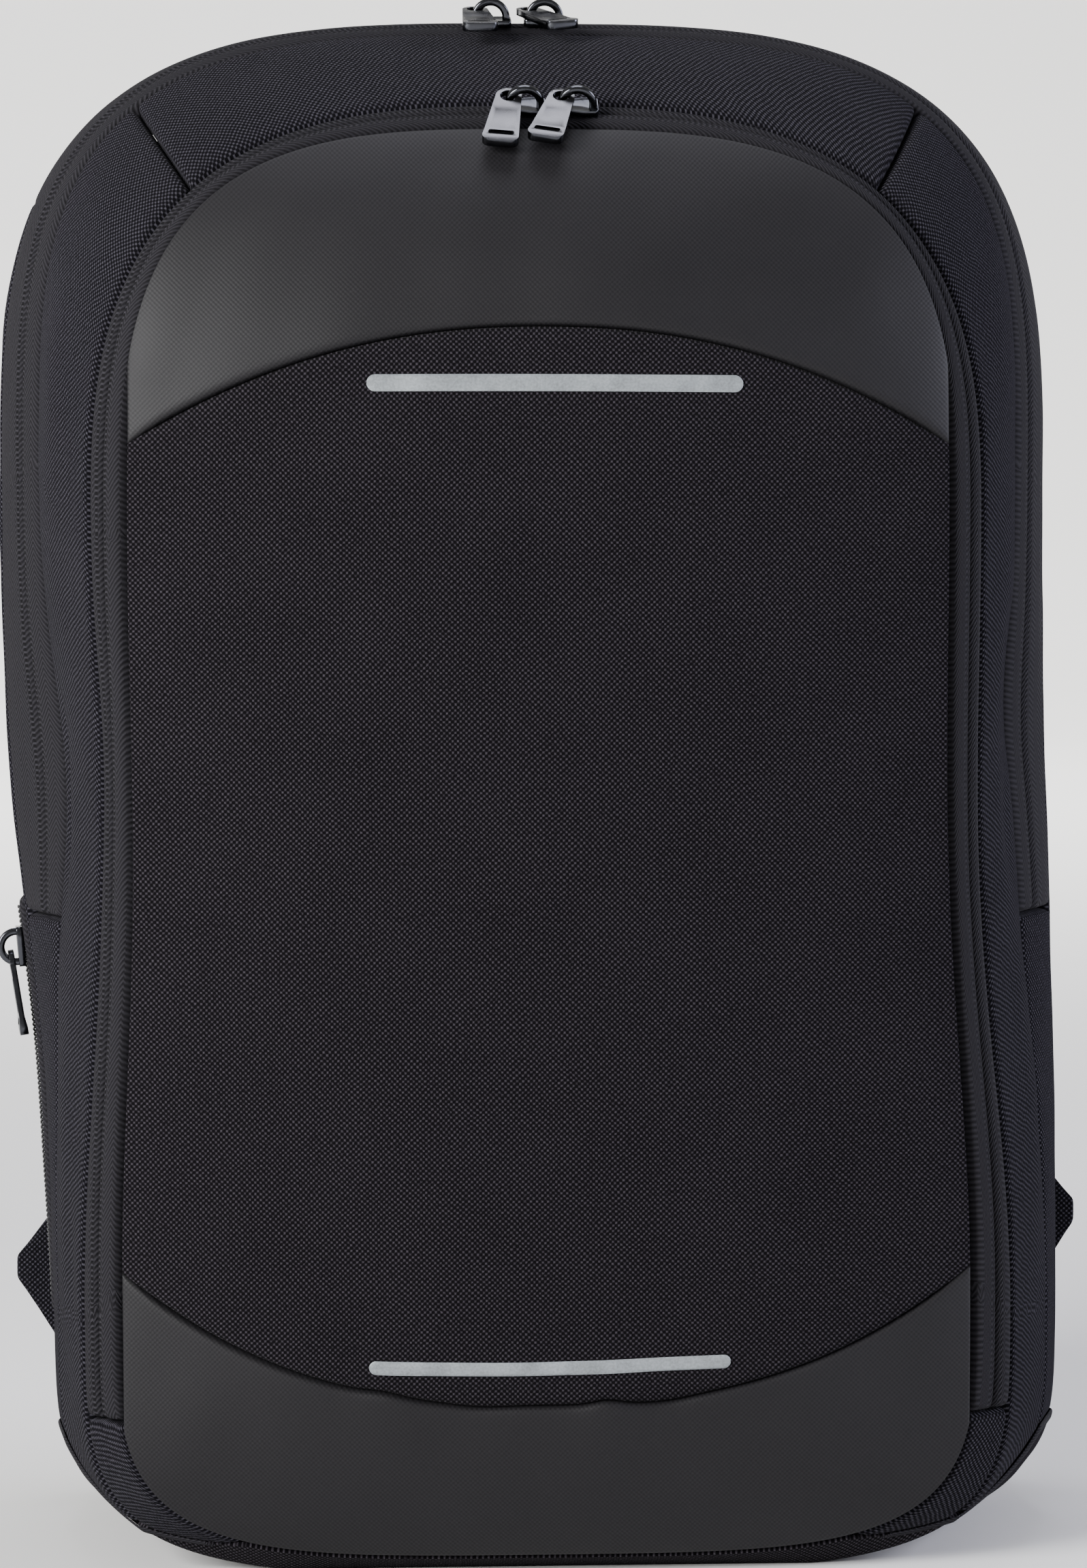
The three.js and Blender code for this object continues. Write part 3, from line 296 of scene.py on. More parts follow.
def station_at(index, z):
    """The station at which a seam passes a height."""
    seam = SEAMS[index]
    if z > seam.shoulder:
        rise = (z - seam.shoulder) / (seam.top - seam.shoulder)
        return 1 - math.degrees(math.asin(rise ** (seam.square_top / 2))) / 90
    if z > seam.hip_at:
        return 1 + (seam.shoulder - z) / (seam.shoulder - seam.hip_at)
    drop = (seam.hip_at - z) / (seam.hip_at - seam.bottom)
    return 2 + math.degrees(math.asin(drop ** (seam.square_bottom / 2))) / 90


def at_height(strip, z):
    """The station at which a strip passes a height, by place across it."""
    return lambda across: lerp(station_at(strip, z), station_at(strip + 1, z), across)


def at_base(strip):
    """The station at which a strip meets the base, by place across it."""
    first, last = station_at(strip, SEAMS[strip].base), station_at(strip + 1, SEAMS[strip + 1].base)
    return lambda across: lerp(first, last, across)


def at_station(station):
    return lambda across: station + 0 * across


def mirrored(end):
    return lambda across: -end(across)


def on_side(side, start, end):
    """The two ends of a piece on one side of the bag."""
    if side > 0:
        return start, end
    return mirrored(end), mirrored(start)


def strip_normal(strip, station):
    step = 1e-3
    before, after = np.maximum(-3, station - step), np.minimum(3, station + step)
    along = (seam_points(strip, after) + seam_points(strip + 1, after)
             - seam_points(strip, before) - seam_points(strip + 1, before))
    return unit(np.cross(along, seam_points(strip + 1, station) - seam_points(strip, station)))


def seam_normal(index, station):
    normal = 0
    if index > PANEL_EDGE:
        normal = normal + strip_normal(index - 1, station)
    if index < BACK_EDGE:
        normal = normal + strip_normal(index, station)
    return unit(normal)


def strip_inward(strip, station, across):
    across = np.asarray(across, float)[..., None]
    return -unit(lerp(seam_normal(strip, station), seam_normal(strip + 1, station), across))


def strip_points(strip, station, across, proud=0.0):
    station, across = np.broadcast_arrays(np.asarray(station, float), np.asarray(across, float))
    flat = lerp(seam_points(strip, station), seam_points(strip + 1, station), across[..., None])
    low = 1 - smooth((np.abs(station) - PUFF_FADE_FROM) / PUFF_FADE_OVER)
    puff = STRIP_PUFF[strip] * 4 * across * (1 - across) * low + proud
    return flat - strip_inward(strip, station, across) * puff[..., None]


def line_reach(points):
    """The distance along a line of points, from its start."""
    return np.concatenate([[0.0], np.cumsum(np.linalg.norm(np.diff(points, axis=0), axis=1))])


def edge_steps(reach, spacing):
    """Distances across a piece, closer together where its edges turn in."""
    rim = np.array([step for step in RIM_STEPS if step < reach * 0.3])
    count = max(1, round((reach - 2 * rim[-1]) / spacing))
    middle = np.linspace(rim[-1], reach - rim[-1], count + 1)
    return np.concatenate([rim[:-1], middle, (reach - rim[:-1])[::-1]])


def edge_parts(reach, spacing):
    """The same distances as parts of the way across."""
    return edge_steps(reach, spacing) / reach


def crowded(count):
    """Places from -1 to 1 that lie closer together towards both ends."""
    return np.sin(np.linspace(-math.pi / 2, math.pi / 2, count))


def ripple(u, v, size):
    """Small unevenness of hanging cloth, from four slow waves."""
    total = 0
    for reach, phase, turn in RIPPLES:
        way = u * math.cos(turn) + v * math.sin(turn)
        total = total + np.sin(2 * np.pi * way / reach + phase) * reach / RIPPLES[0][0]
    return size * total / len(RIPPLES)


def new_object(name, mesh):
    piece = bpy.data.objects.new(name, mesh)
    bpy.context.scene.collection.objects.link(piece)
    return piece


def sheet_object(name, outer, inner, cloth):
    """A closed sheet between an outer and an inner grid of points in mm, with its UV map in mm of cloth."""
    rows, columns = outer.shape[:2]
    count = rows * columns
    front = np.arange(count).reshape(rows, columns)
    back = front + count
    quads = [np.stack([front[:-1, :-1], front[:-1, 1:], front[1:, 1:], front[1:, :-1]], -1).reshape(-1, 4),
             np.stack([back[:-1, :-1], back[1:, :-1], back[1:, 1:], back[:-1, 1:]], -1).reshape(-1, 4)]
    ring = np.concatenate([front[0, :-1], front[:-1, -1], front[-1, :0:-1], front[:0:-1, 0]])
    after = np.roll(ring, -1)
    quads.append(np.stack([after, ring, ring + count, after + count], -1))
    points = (np.concatenate([outer.reshape(-1, 3), inner.reshape(-1, 3)]) - ORIGIN) * MM
    mesh = bpy.data.meshes.new(name)
    mesh.from_pydata(points.tolist(), [], np.concatenate(quads).tolist())
    work = bmesh.new()
    work.from_mesh(mesh)
    bmesh.ops.recalc_face_normals(work, faces=work.faces)
    work.to_mesh(mesh)
    work.free()
    flat = np.concatenate([cloth.reshape(-1, 2)] * 2)
    corners = np.empty(len(mesh.loops), int)
    mesh.loops.foreach_get("vertex_index", corners)
    mesh.uv_layers.new(name="cloth").data.foreach_set("uv", flat[corners].astype(np.float32).ravel())
    mesh.shade_smooth()
    mesh.set_sharp_from_angle(angle=CLOTH_SHARP)
    return new_object(name, mesh)


def declare_sheet(grid):
    """Works out the size that a sheet was cut to, laid flat, and its area, which are not used further."""
    long = np.linalg.norm(np.diff(grid, axis=1), axis=-1).sum(1).max()
    wide = np.linalg.norm(np.diff(grid, axis=0), axis=-1).sum(0).max()
    a, b = grid[1:, 1:] - grid[:-1, :-1], grid[1:, :-1] - grid[:-1, 1:]
    area = np.linalg.norm(np.cross(a, b), axis=-1).sum() / 2
    flat = [max(side, FLAT_LEAST) * MM for side in (wide, long)]
    area = min(max(area * MM * MM, FILL_LEAST * flat[0] * flat[1]), flat[0] * flat[1])


def strip_sheet(name, strip, start, end, thick, share=(0.0, 1.0), dips=(1.0, 1.0), ends=(1.0, 1.0), slit=None,
                proud=0.0, spacing=2.6, wave=0.5):
    """A cloth piece on a strip between two seams. dips and ends give how far its long edges and its ends
    turn in, in seam depths. slit is the place across that the cloth's own measure starts from."""
    sizes = bpy.context.scene.backpack_sizes
    depth, turn = sizes.seam / MM, sizes.turn / MM
    fine = np.linspace(0, 1, 1201)

    def lengthwise(across):
        stations = lerp(start(across), end(across), fine)
        return stations, line_reach(strip_points(strip, stations, across))

    stations, reach = lengthwise((share[0] + share[1]) / 2)
    along = (edge_steps(reach[-1] - 2 * SEAM_GAP, spacing) + SEAM_GAP) / reach[-1]
    widths = np.linalg.norm(seam_points(strip + 1, stations) - seam_points(strip, stations), axis=-1)
    width = widths.mean() * (share[1] - share[0])
    places = edge_parts(width, spacing)
    rows = [lengthwise(lerp(share[0], share[1], place)) for place in places]
    reaches = np.array([reach[-1] for _, reach in rows])[:, None]
    lengths = along * reaches
    station = np.array([np.interp(row, reach, stations) for row, (stations, reach) in zip(lengths, rows)])
    place = np.broadcast_to(places[:, None], station.shape)
    local = np.linalg.norm(seam_points(strip + 1, station) - seam_points(strip, station), axis=-1)
    across = lerp(share[0] + SEAM_GAP / local, share[1] - SEAM_GAP / local, place)
    from_first, from_last = (across - share[0]) * local, (share[1] - across) * local
    # Ripples fade out over 6 mm at the long edges, and each strip has its own.
    inside = np.minimum(1, np.minimum(from_first, from_last) / 6)
    lift = ripple(lengths, from_first + 40 * strip, wave) * inside
    for share_in, away in zip(dips + ends, (from_first, from_last, lengths, reaches - lengths)):
        lift = lift - share_in * depth * (hill(away, turn) + 2 * hill(away, turn / 3))
    heights = strip_points(strip, station, across)[..., 2]
    for crease in CREASES:
        if crease.strip == strip:
            # Creases lie on the sides, not on the top.
            beside = np.where(np.sign(station) == crease.side, 1.0, 0.0) * (np.abs(station) > 0.8)
            lift = lift - (crease.depth * beside * hill(heights - crease.height, crease.along)
                           * hill(across - crease.across, crease.reach))
    outer = strip_points(strip, station, across, proud + lift)
    inner = outer + strip_inward(strip, station, across) * thick
    # No cloth lies below the floor, and its inside lies a little above it.
    outer[..., 2] = np.maximum(outer[..., 2], 0)
    inner[..., 2] = np.maximum(inner[..., 2], 0.2)
    origin = share[0] if slit is None else slit
    cloth = np.stack([lengths, (across - origin) * local], axis=-1)
    return sheet_object(name, outer, inner, cloth), outer


def sew_strip(node, slot, *place, **shape):
    """A cloth piece on a strip, dressed, with its flat size worked out."""
    cloth, grid = strip_sheet(node + "_cloth", *place, **shape)
    dress(cloth, slot, node)
    declare_sheet(grid)


def sew_hoop(top, sides, strip, station, **shape):
    """The three pieces of a strip that is sewn from a top and two sides, which meet at a station."""
    thick = bpy.context.scene.backpack_sizes.cloth / MM
    seam = at_station(station)
    sew_strip(top, "band_nylon", strip, mirrored(seam), seam, thick, **shape)
    for side in (-1, 1):
        ends = on_side(side, seam, at_base(strip))
        sew_strip(sides + SIDE_NAME[side], "band_nylon", strip, *ends, thick, **shape)


def panel_half(index, z):
    seam = SEAMS[index]
    rise = np.clip((z - seam.shoulder) / (seam.top - seam.shoulder), 0, 1)
    drop = np.clip((seam.hip_at - z) / (seam.hip_at - seam.bottom), 0, 1)
    down = np.clip((seam.shoulder - z) / (seam.shoulder - seam.hip_at), 0, 1)
    middle = lerp(seam.wide, seam.hip, smooth(down)) + seam.waist * np.sin(np.pi * down) ** 2
    return np.select([z > seam.shoulder, z > seam.hip_at], [
        seam.wide * (1 - rise ** seam.square_top) ** (1 / seam.square_top), middle,
    ], seam.hip * (1 - drop ** seam.square_bottom) ** (1 / seam.square_bottom))


def edge_depth(index, z):
    seam = SEAMS[index]
    rise = np.clip((z - seam.shoulder) / (seam.top - seam.shoulder), 0, 1)
    drop = np.clip((seam.hip_at - z) / (seam.hip_at - seam.bottom), 0, 1)
    return np.where(z > seam.shoulder, lerp(seam.y_side, seam.y_top, rise ** seam.square_top),
                    lerp(seam.y_side, seam.y_bottom, drop ** seam.square_bottom))


def bulge_share(index, x, z):
    """The bulge of a panel between its edges, 1 in the middle and 0 at the edge."""
    seam = SEAMS[index]
    half = np.maximum(1, panel_half(index, z))
    middle = (seam.top + seam.bottom) / 2
    up = np.abs(z - middle) / (seam.top - middle)
    return np.maximum(0, 1 - np.abs(x / half) ** 2.2) ** 0.85 * np.maximum(0, 1 - up ** 4) ** 0.8


def yoke_seam(seam, x):
    """The height of a yoke seam, with the small puckers of the lower one."""
    middle, curve, reach, power = seam
    height = middle + curve * np.abs(x / reach) ** power
    if seam is YOKE_BOTTOM:
        height = height + sum(lift * hill(x - at, wide) for at, lift, wide in PUCKERS)
    return height


def panel_points(x, z, proud=0.0):
    """The front panel's outer face, turned in along its two yoke seams."""
    sizes = bpy.context.scene.backpack_sizes
    turn = sizes.turn / MM
    away = [z - yoke_seam(seam, x) for seam in (YOKE_TOP, YOKE_BOTTOM)]
    turned = sum(hill(from_seam, turn) + 1.4 * hill(from_seam, turn / 3) for from_seam in away)
    # Each pucker lifts the cloth within 14 mm of the lower seam.
    slack = sum(0.6 * lift * hill(x - at, 1.6 * wide) * hill(away[1], 14) for at, lift, wide in PUCKERS)
    rim = np.clip(bulge_share(PANEL_EDGE, x, z) * 4, 0, 1)
    proud = proud + rim * (ripple(x, z, PANEL_RIPPLE) + slack - YOKE_DIP * turned * sizes.seam / MM)
    y = edge_depth(PANEL_EDGE, z) - PANEL_BULGE * bulge_share(PANEL_EDGE, x, z) - proud
    return np.stack([x + lean_shift(y, z), y, z], axis=-1)


def panel_station(x, z):
    """The station on the panel's edge at the height of a point."""
    return np.where(x < 0, -1, 1) * np.vectorize(station_at)(PANEL_EDGE, z)


def panel_sheet(name, x, z, rim, thick):
    """A piece of the front panel from grids of x and z, and of how near to the rim each point lies."""
    sizes = bpy.context.scene.backpack_sizes
    outer = panel_points(x, z)
    wall = -seam_normal(PANEL_EDGE, panel_station(x, z))
    # The cloth's thickness points backwards, and into the bag's wall near the rim.
    straight = np.broadcast_to((0.0, 1.0, 0.0), wall.shape)
    inward = unit(lerp(straight, wall, np.clip(rim, 0, 1)[..., None] ** 8))
    dip = RIM_DIP * sizes.seam / MM * smooth((rim - RIM_FROM) / RIM_OVER)
    outer = outer + inward * dip[..., None]
    inner = outer + inward * thick
    return sheet_object(name, outer, inner, np.stack([x, z], axis=-1)), outer


def rim_half(part):
    """The panel's half width along a line part of the way from the lower to the upper yoke seam."""
    half = np.full_like(part, SEAMS[PANEL_EDGE].wide)
    # The height depends on the half width, so each round comes closer.
    for _ in range(14):
        half = panel_half(PANEL_EDGE, lerp(yoke_seam(YOKE_BOTTOM, half), yoke_seam(YOKE_TOP, half), part))
        half = half - RIM_CLEARANCE
    return half


def plug(tree, node, inputs):
    """Sets or links the inputs of a node."""
    for socket, source in inputs.items():
        if isinstance(source, bpy.types.NodeSocket):
            tree.links.new(source, node.inputs[socket])
        else:
            node.inputs[socket].default_value = source


def add_node(tree, kind, inputs=None, **settings):
    """One node with its settings, and values or links for its inputs."""
    node = tree.nodes.new(kind)
    for name, value in settings.items():
        setattr(node, name, value)
    plug(tree, node, inputs or {})
    return node


def cloth_place(tree):
    """The place on the cloth, in mm along and across it."""
    return add_node(tree, "ShaderNodeUVMap", uv_map="cloth").outputs[0]


def object_place(tree):
    return add_node(tree, "ShaderNodeTexCoord").outputs["Object"]


def split(tree, place):
    return add_node(tree, "ShaderNodeSeparateXYZ", {0: place}).outputs


def math_node(tree, operation, *values):
    """The outcome of one step of arithmetic on values or links."""
    return add_node(tree, "ShaderNodeMath", dict(enumerate(values)), operation=operation).outputs[0]


def ranged(tree, value, low, high, start=0.0, end=1.0):
    """A value spread from low and high to start and end, and held between them."""
    return add_node(tree, "ShaderNodeMapRange", {0: value, 1: low, 2: high, 3: start, 4: end}).outputs[0]


def noise(tree, place, scale, detail, output="Fac"):
    inputs = {"Vector": place, "Scale": scale, "Detail": detail}
    return add_node(tree, "ShaderNodeTexNoise", inputs).outputs[output]


def wave(tree, value, spacing):
    """A sine wave that repeats after a spacing."""
    return math_node(tree, "SINE", math_node(tree, "MULTIPLY", value, 2 * math.pi / spacing))


def crossed_waves(tree, place, axes, spacing):
    """Two waves multiplied, which gives staggered rows of dots."""
    parts = split(tree, place)
    return math_node(tree, "MULTIPLY", *(wave(tree, parts[axis], spacing) for axis in axes))


def shade(tone, factor):
    """A colour made lighter or darker."""
    return tuple(min(1.0, part * factor) for part in tone[:3]) + (1.0,)


def tint(tree, tone, factor, dark, light):
    """A colour between a darker and a lighter shade of a tone."""
    inputs = {0: factor, 6: shade(tone, dark), 7: shade(tone, light)}
    return add_node(tree, "ShaderNodeMix", inputs, data_type="RGBA").outputs[2]


def emboss(tree, height, strength, relief):
    """A bump with its relief in mm."""
    inputs = {"Strength": strength, "Distance": relief * MM, "Height": height}
    return add_node(tree, "ShaderNodeBump", inputs).outputs[0]


# Each maker below adds its nodes to a material and returns the inputs of its shader.
def basket_weave(tree, tone, pitch, roughness):
    """Basket-woven polyester: rows of small floats painted lighter, a painted highlight, with gaps between
    them painted darker, a painted shade, dull with a faint bloom.
    pitch is half the distance between two floats: they are 0.9 mm apart, drawn at 1.6 mm to show."""
    cloth = cloth_place(tree)
    # The threads wander by a quarter of a millimetre every centimetre or so.
    wander = noise(tree, cloth, 0.12, 1.0, "Color")
    thread = add_node(tree, "ShaderNodeVectorMath", {0: wander, 1: (1.0, 1.0, 0.0), 2: cloth},
                      operation="MULTIPLY_ADD").outputs[0]
    height = ranged(tree, crossed_waves(tree, thread, (0, 1), 2 * pitch), -0.25, 0.75)
    # Yarn differs a little from float to float and over the width of a hand.
    light = math_node(tree, "MULTIPLY", height, noise(tree, cloth, 0.9 / pitch, 1.0))
    drift = math_node(tree, "MULTIPLY_ADD", noise(tree, cloth, 0.03, 3.0), 0.1, light)
    painted_light_contrast = 3.1
    # The colour follows the floats' relief: the floats are painted lighter, a painted highlight, and the gaps
    # darker, a painted shade; the yarn and drift noise add random tone.
    return {"Base Color": tint(tree, tone, ranged(tree, drift, 0.08, 0.62), 1 / painted_light_contrast, painted_light_contrast),
            "Normal": emboss(tree, height, 0.8, 0.4), "Roughness": roughness, "IOR": 1.53,
            "Specular IOR Level": 0.0, "Sheen Weight": 0.02, "Sheen Roughness": 0.4}


def coated_cloth(tree, tone, pitch):
    """Polyester with a polyurethane coating: a close, fine dot pattern under a smooth satin skin, the raised
    dots painted lighter as a painted highlight. pitch is
    half the distance between two dots: they are 0.8 mm apart, drawn at 1.4 mm so that they show."""
    cloth = cloth_place(tree)
    height = ranged(tree, crossed_waves(tree, cloth, (0, 1), 2 * pitch), -0.9, 0.9)
    # The skin varies in tone and gloss over the width of a hand.
    patch = noise(tree, cloth, 0.025, 3.0)
    blend = math_node(tree, "MULTIPLY_ADD", patch, 0.5, height)
    # The raised dots are painted lighter than the skin between them, a painted highlight, with random tone
    # from the patches.
    return {"Base Color": tint(tree, tone, ranged(tree, blend, 0.1, 1.4), 0.42, 1.65),
            "Normal": emboss(tree, height, 0.45, 0.1), "Roughness": ranged(tree, patch, 0, 1, 0.5, 0.62),
            "IOR": 1.5, "Specular IOR Level": 0.2}


def herringbone(tree, tone, rib, loop):
    """Herringbone polyester tape: slanting ribs that turn back every few millimetres, and beside the slit
    the rows of stitches that hold the coil."""
    cloth = cloth_place(tree)
    along, across, _ = split(tree, cloth)
    side = math_node(tree, "ABSOLUTE", across)
    # The ribs turn back every 3.6 mm. They are 0.7 mm apart, drawn at 1.7 mm so that they show.
    slant = math_node(tree, "MULTIPLY_ADD", math_node(tree, "PINGPONG", side, 3.6), 1.3, along)
    ribs = ranged(tree, wave(tree, slant, rib), -1.0, 1.0)
    # A row of coil stitches lies 1.9 mm from the slit and is 1.5 mm wide.
    row = ranged(tree, math_node(tree, "ABSOLUTE", math_node(tree, "SUBTRACT", side, 1.9)), 0.75, 0.35)
    knots = ranged(tree, wave(tree, along, loop), -0.5, 0.7, -0.5, 1.5)
    height = add_node(tree, "ShaderNodeMix", {0: row, 2: ribs, 3: knots}, data_type="FLOAT").outputs[0]
    light = math_node(tree, "MULTIPLY_ADD", noise(tree, cloth, 1.4, 2.0), 0.5, height)
    # The colour follows the relief: raised ribs and stitches are painted lighter, a painted highlight, and
    # the grooves darker, a painted shade, with some random tone.
    return {"Base Color": tint(tree, tone, ranged(tree, light, 0.0, 1.5), 0.35, 1.8),
            "Normal": emboss(tree, height, 0.8, 0.28), "Roughness": 0.85, "Specular IOR Level": 0.08}


def bead_tape(tree, tone):
    """Retroreflective tape: glass beads in a silver film, which look like fine bright sand, worn darker in
    spots. The beads are about 0.06 mm, drawn at 0.7 mm so that they show."""
    cloth = cloth_place(tree)
    beads = noise(tree, cloth, 1.4, 3.0)
    light = math_node(tree, "ADD", beads, noise(tree, cloth, 0.12, 2.0))
    return {"Base Color": tint(tree, tone, ranged(tree, light, 0.7, 1.3), 0.68, 1.2),
            "Normal": emboss(tree, beads, 0.5, 0.12), "Roughness": 0.48, "Metallic": 0.25}


def spacer_mesh(tree, tone):
    """Knitted spacer mesh: a dull face with staggered rows of small round holes, painted darker as a painted
    shade in them.
    """
    place = object_place(tree)
    flat = add_node(tree, "ShaderNodeMapping", {"Vector": place, "Scale": (1000, 0, 1000)}).outputs[0]
    # Holes stand 2.6 mm apart across the rows, which is a wave of 3.6 mm on each axis.
    knit = ranged(tree, crossed_waves(tree, flat, (0, 2), 3.6), 0.75, 0.25)
    light = math_node(tree, "MULTIPLY", knit, noise(tree, place, 700.0, 2.0))
    # The holes are painted darker than the face, a painted shade in them, with random tone.
    return {"Base Color": tint(tree, tone, light, 0.35, 1.9), "Normal": emboss(tree, knit, 0.8, 0.5),
            "Roughness": 0.92, "Sheen Weight": 0.12}


def ribbed_webbing(tree, tone):
    """Nylon webbing: broad ribs across the strap with fine threads on them, a little glossy."""
    cloth = cloth_place(tree)
    along, across, _ = split(tree, cloth)
    # Ribs are 1.6 mm apart and turn back every 2.2 mm, in a chevron.
    slant = math_node(tree, "ADD", math_node(tree, "PINGPONG", across, 2.2), along)
    height = ranged(tree, wave(tree, slant, 1.6), -1.0, 1.0)
    light = math_node(tree, "MULTIPLY", height, noise(tree, cloth, 1.2, 2.0))
    # The colour follows the ribs: their crests are painted lighter, a painted highlight, and the grooves
    # darker, a painted shade, with some random tone.
    return {"Base Color": tint(tree, tone, light, 0.6, 1.7), "Normal": emboss(tree, height, 0.7, 0.3),
            "Roughness": 0.68, "IOR": 1.53}


def moulded_plastic(tree, tone):
    """Moulded acetal: smooth black with a spark-eroded grain of 0.3 mm that softens the gloss."""
    grain = noise(tree, object_place(tree), 3300.0, 2.0)
    return {"Base Color": tint(tree, tone, grain, 0.8, 1.25), "Normal": emboss(tree, grain, 0.2, 0.05),
            "Roughness": ranged(tree, grain, 0, 1, 0.38, 0.5), "IOR": 1.48}


def nickel_plate(tree, tone, polish):
    """Nickel on die-cast zinc: a mirror with handling marks about 4 mm across and a slight cast unevenness.
    polish is its lowest roughness."""
    marks = noise(tree, object_place(tree), 260.0, 4.0)
    return {"Base Color": tint(tree, tone, marks, 0.8, 1.2), "Normal": emboss(tree, marks, 0.06, 0.1),
            "Roughness": ranged(tree, marks, 0.35, 0.7, polish, polish + 0.1), "Metallic": 1.0}


def painted_board(tree, tone):
    """Painted studio board: pale, even and dull, with a barely uneven coat."""
    coat = noise(tree, object_place(tree), 3.0, 3.0)
    return {"Base Color": tint(tree, tone, coat, 0.98, 1.02), "Roughness": 0.9}


# Looks: the material's name, its maker, its colour and the maker's other values, of which a text names a size
LOOKS = {
    "woven_nylon": ("basket_woven_polyester", basket_weave, "woven", "weave", 0.82),
    "band_nylon": ("band_woven_polyester", basket_weave, "band", "band_weave", 0.8),
    "coated_nylon": ("coated_polyester", coated_cloth, "coated", "dots"),
    "zip_tape": ("herringbone_zip_tape", herringbone, "tape", "twill", "loops"),
    "reflective_tape": ("bead_reflective_tape", bead_tape, "reflective"),
    "padded_mesh": ("spacer_mesh", spacer_mesh, "mesh"),
    "webbing": ("nylon_webbing", ribbed_webbing, "webbing"),
    "buckle_plastic": ("moulded_acetal", moulded_plastic, "plastic"),
    # The pulls' faces get this lighter nickel tone, a painted reflection of the bright light above, on the
    # same plating as their edges.
    "satin_nickel": ("satin_nickel_plate", nickel_plate, "pull", 0.24),
    "black_nickel": ("black_nickel_plate", nickel_plate, "metal", 0.12),
    "floor": ("painted_floor", painted_board, "floor"),
}


def finish(look):
    """The material of a look, made when it is first asked for."""
    name, make, tone, *values = LOOKS[look]
    if name not in bpy.data.materials:
        sizes, tones = bpy.context.scene.backpack_sizes, bpy.context.scene.backpack_colours
        values = [getattr(sizes, value) / MM if isinstance(value, str) else value for value in values]
        material = bpy.data.materials.new(name)
        material.use_nodes = True
        tree = material.node_tree
        plug(tree, tree.nodes["Principled BSDF"], make(tree, getattr(tones, tone), *values))
    return bpy.data.materials[name]


def dress(piece, slot, *nodes, look=None, body=BODY):
    """Gives a piece the look of its slot or another, puts it on its body, and hides the nodes it stands for.
    """
    piece.data.materials.clear()
    piece.data.materials.append(finish(look or slot))
    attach(piece, body)
    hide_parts(*nodes)
    return piece


class BACKPACK_OT_stage(bpy.types.Operator):
    """Makes the pale floor, the soft light and the camera."""
    bl_idname = "backpack.stage"
    bl_label = "Stage"

    def execute(self, context):
        self.floor(context)
        self.light(context.scene)
        self.camera(context.scene)
        return {"FINISHED"}

    def floor(self, context):
        """A floor whose far edge curves up into a wall, so that no line shows behind the bag."""
        bpy.ops.object.select_all(action="DESELECT")
        bpy.ops.mesh.primitive_circle_add(vertices=96, radius=FLOOR_RADIUS, fill_type="NGON",
                                          location=(0, 0, 0))
        floor = context.active_object
        floor.name = "studio_floor"
        bpy.ops.object.mode_set(mode="EDIT")
        bpy.ops.mesh.select_all(action="SELECT")
        bpy.ops.mesh.select_mode(type="EDGE")
        bpy.ops.mesh.region_to_loop()
        for step in range(1, WALL_STEPS + 1):
            before, at = ((step - back) * math.pi / (2 * WALL_STEPS) for back in (1, 0))
            grow = (FLOOR_RADIUS + WALL_CURVE * math.sin(at)) / (FLOOR_RADIUS + WALL_CURVE * math.sin(before))
            rise = WALL_CURVE * (math.cos(before) - math.cos(at))
            bpy.ops.mesh.extrude_edges_move(TRANSFORM_OT_translate={"value": (0, 0, rise)})
            bpy.ops.transform.resize(value=(grow, grow, 1), center_override=(0, 0, 0))
        bpy.ops.object.mode_set(mode="OBJECT")
        floor.data.shade_smooth()
        floor.data.materials.append(finish("floor"))

    def light(self, scene):
        """An even, pale air and four soft boxes."""
        world = bpy.data.worlds.new("studio_air")
        world.use_nodes = True
        plug(world.node_tree, world.node_tree.nodes["Background"],
             {"Color": linear(AIR_TONE), "Strength": AIR_STRENGTH})
        scene.world = world
        for name, place, aim, wide, high, power, tone in SOFT_BOXES:
            light = bpy.data.lights.new(name, "AREA")
            light.shape, light.size, light.size_y, light.energy = "RECTANGLE", wide, high, power
            light.color = linear(tone)[:3]
            lamp = new_object(name, light)
            lamp.location = place
            lamp.rotation_euler = (Vector(aim) - Vector(place)).to_track_quat("-Z", "Y").to_euler()

    def camera(self, scene):
        camera = new_object("photo_camera", bpy.data.cameras.new("photo_camera"))
        camera.data.sensor_width, camera.data.lens, camera.data.clip_end = SENSOR, LENS, 60
        camera.location = CAMERA_PLACE
        turn = math.radians(CAMERA_TURN)
        ahead = Vector((math.sin(turn), math.cos(turn), 0))
        right = Vector((math.cos(turn), -math.sin(turn), 0))
        aim = ahead + right * (RIGHT_PX / FOCAL_PX) - Vector((0, 0, BELOW_PX / FOCAL_PX))
        camera.rotation_euler = aim.to_track_quat("-Z", "Y").to_euler()
        scene.camera = camera


class BACKPACK_OT_reflective_strips(bpy.types.Operator):
    """Makes the two round-ended reflective strips on the front panel."""
    bl_idname = "backpack.reflective_strips"
    bl_label = "Reflective strips"

    def execute(self, context):
        part, edge = np.meshgrid(crowded(PANEL_COLUMNS), np.linspace(-1, 1, 9))
        crown = FILM_PROUD - FILM_EDGE * np.abs(edge) ** 6
        for node, x_middle, z_middle, long, high, sag in STRIPS:
            from_end = long / 2 * (1 - np.abs(part))
            near = np.clip((from_end + 0.05) / (high / 2), 0, 1)
            half = high / 2 * np.sqrt(1 - (1 - near) ** 2)
            x = x_middle + part * long / 2
            z = z_middle + edge * half + sag * np.cos(part * math.pi / 2 + 0.5)
            strip = sheet_object(node + "_film", panel_points(x, z, crown), panel_points(x, z, FILM_BACK),
                                 np.stack([x, z], axis=-1))
            dress(strip, "reflective_tape", node)
        return {"FINISHED"}


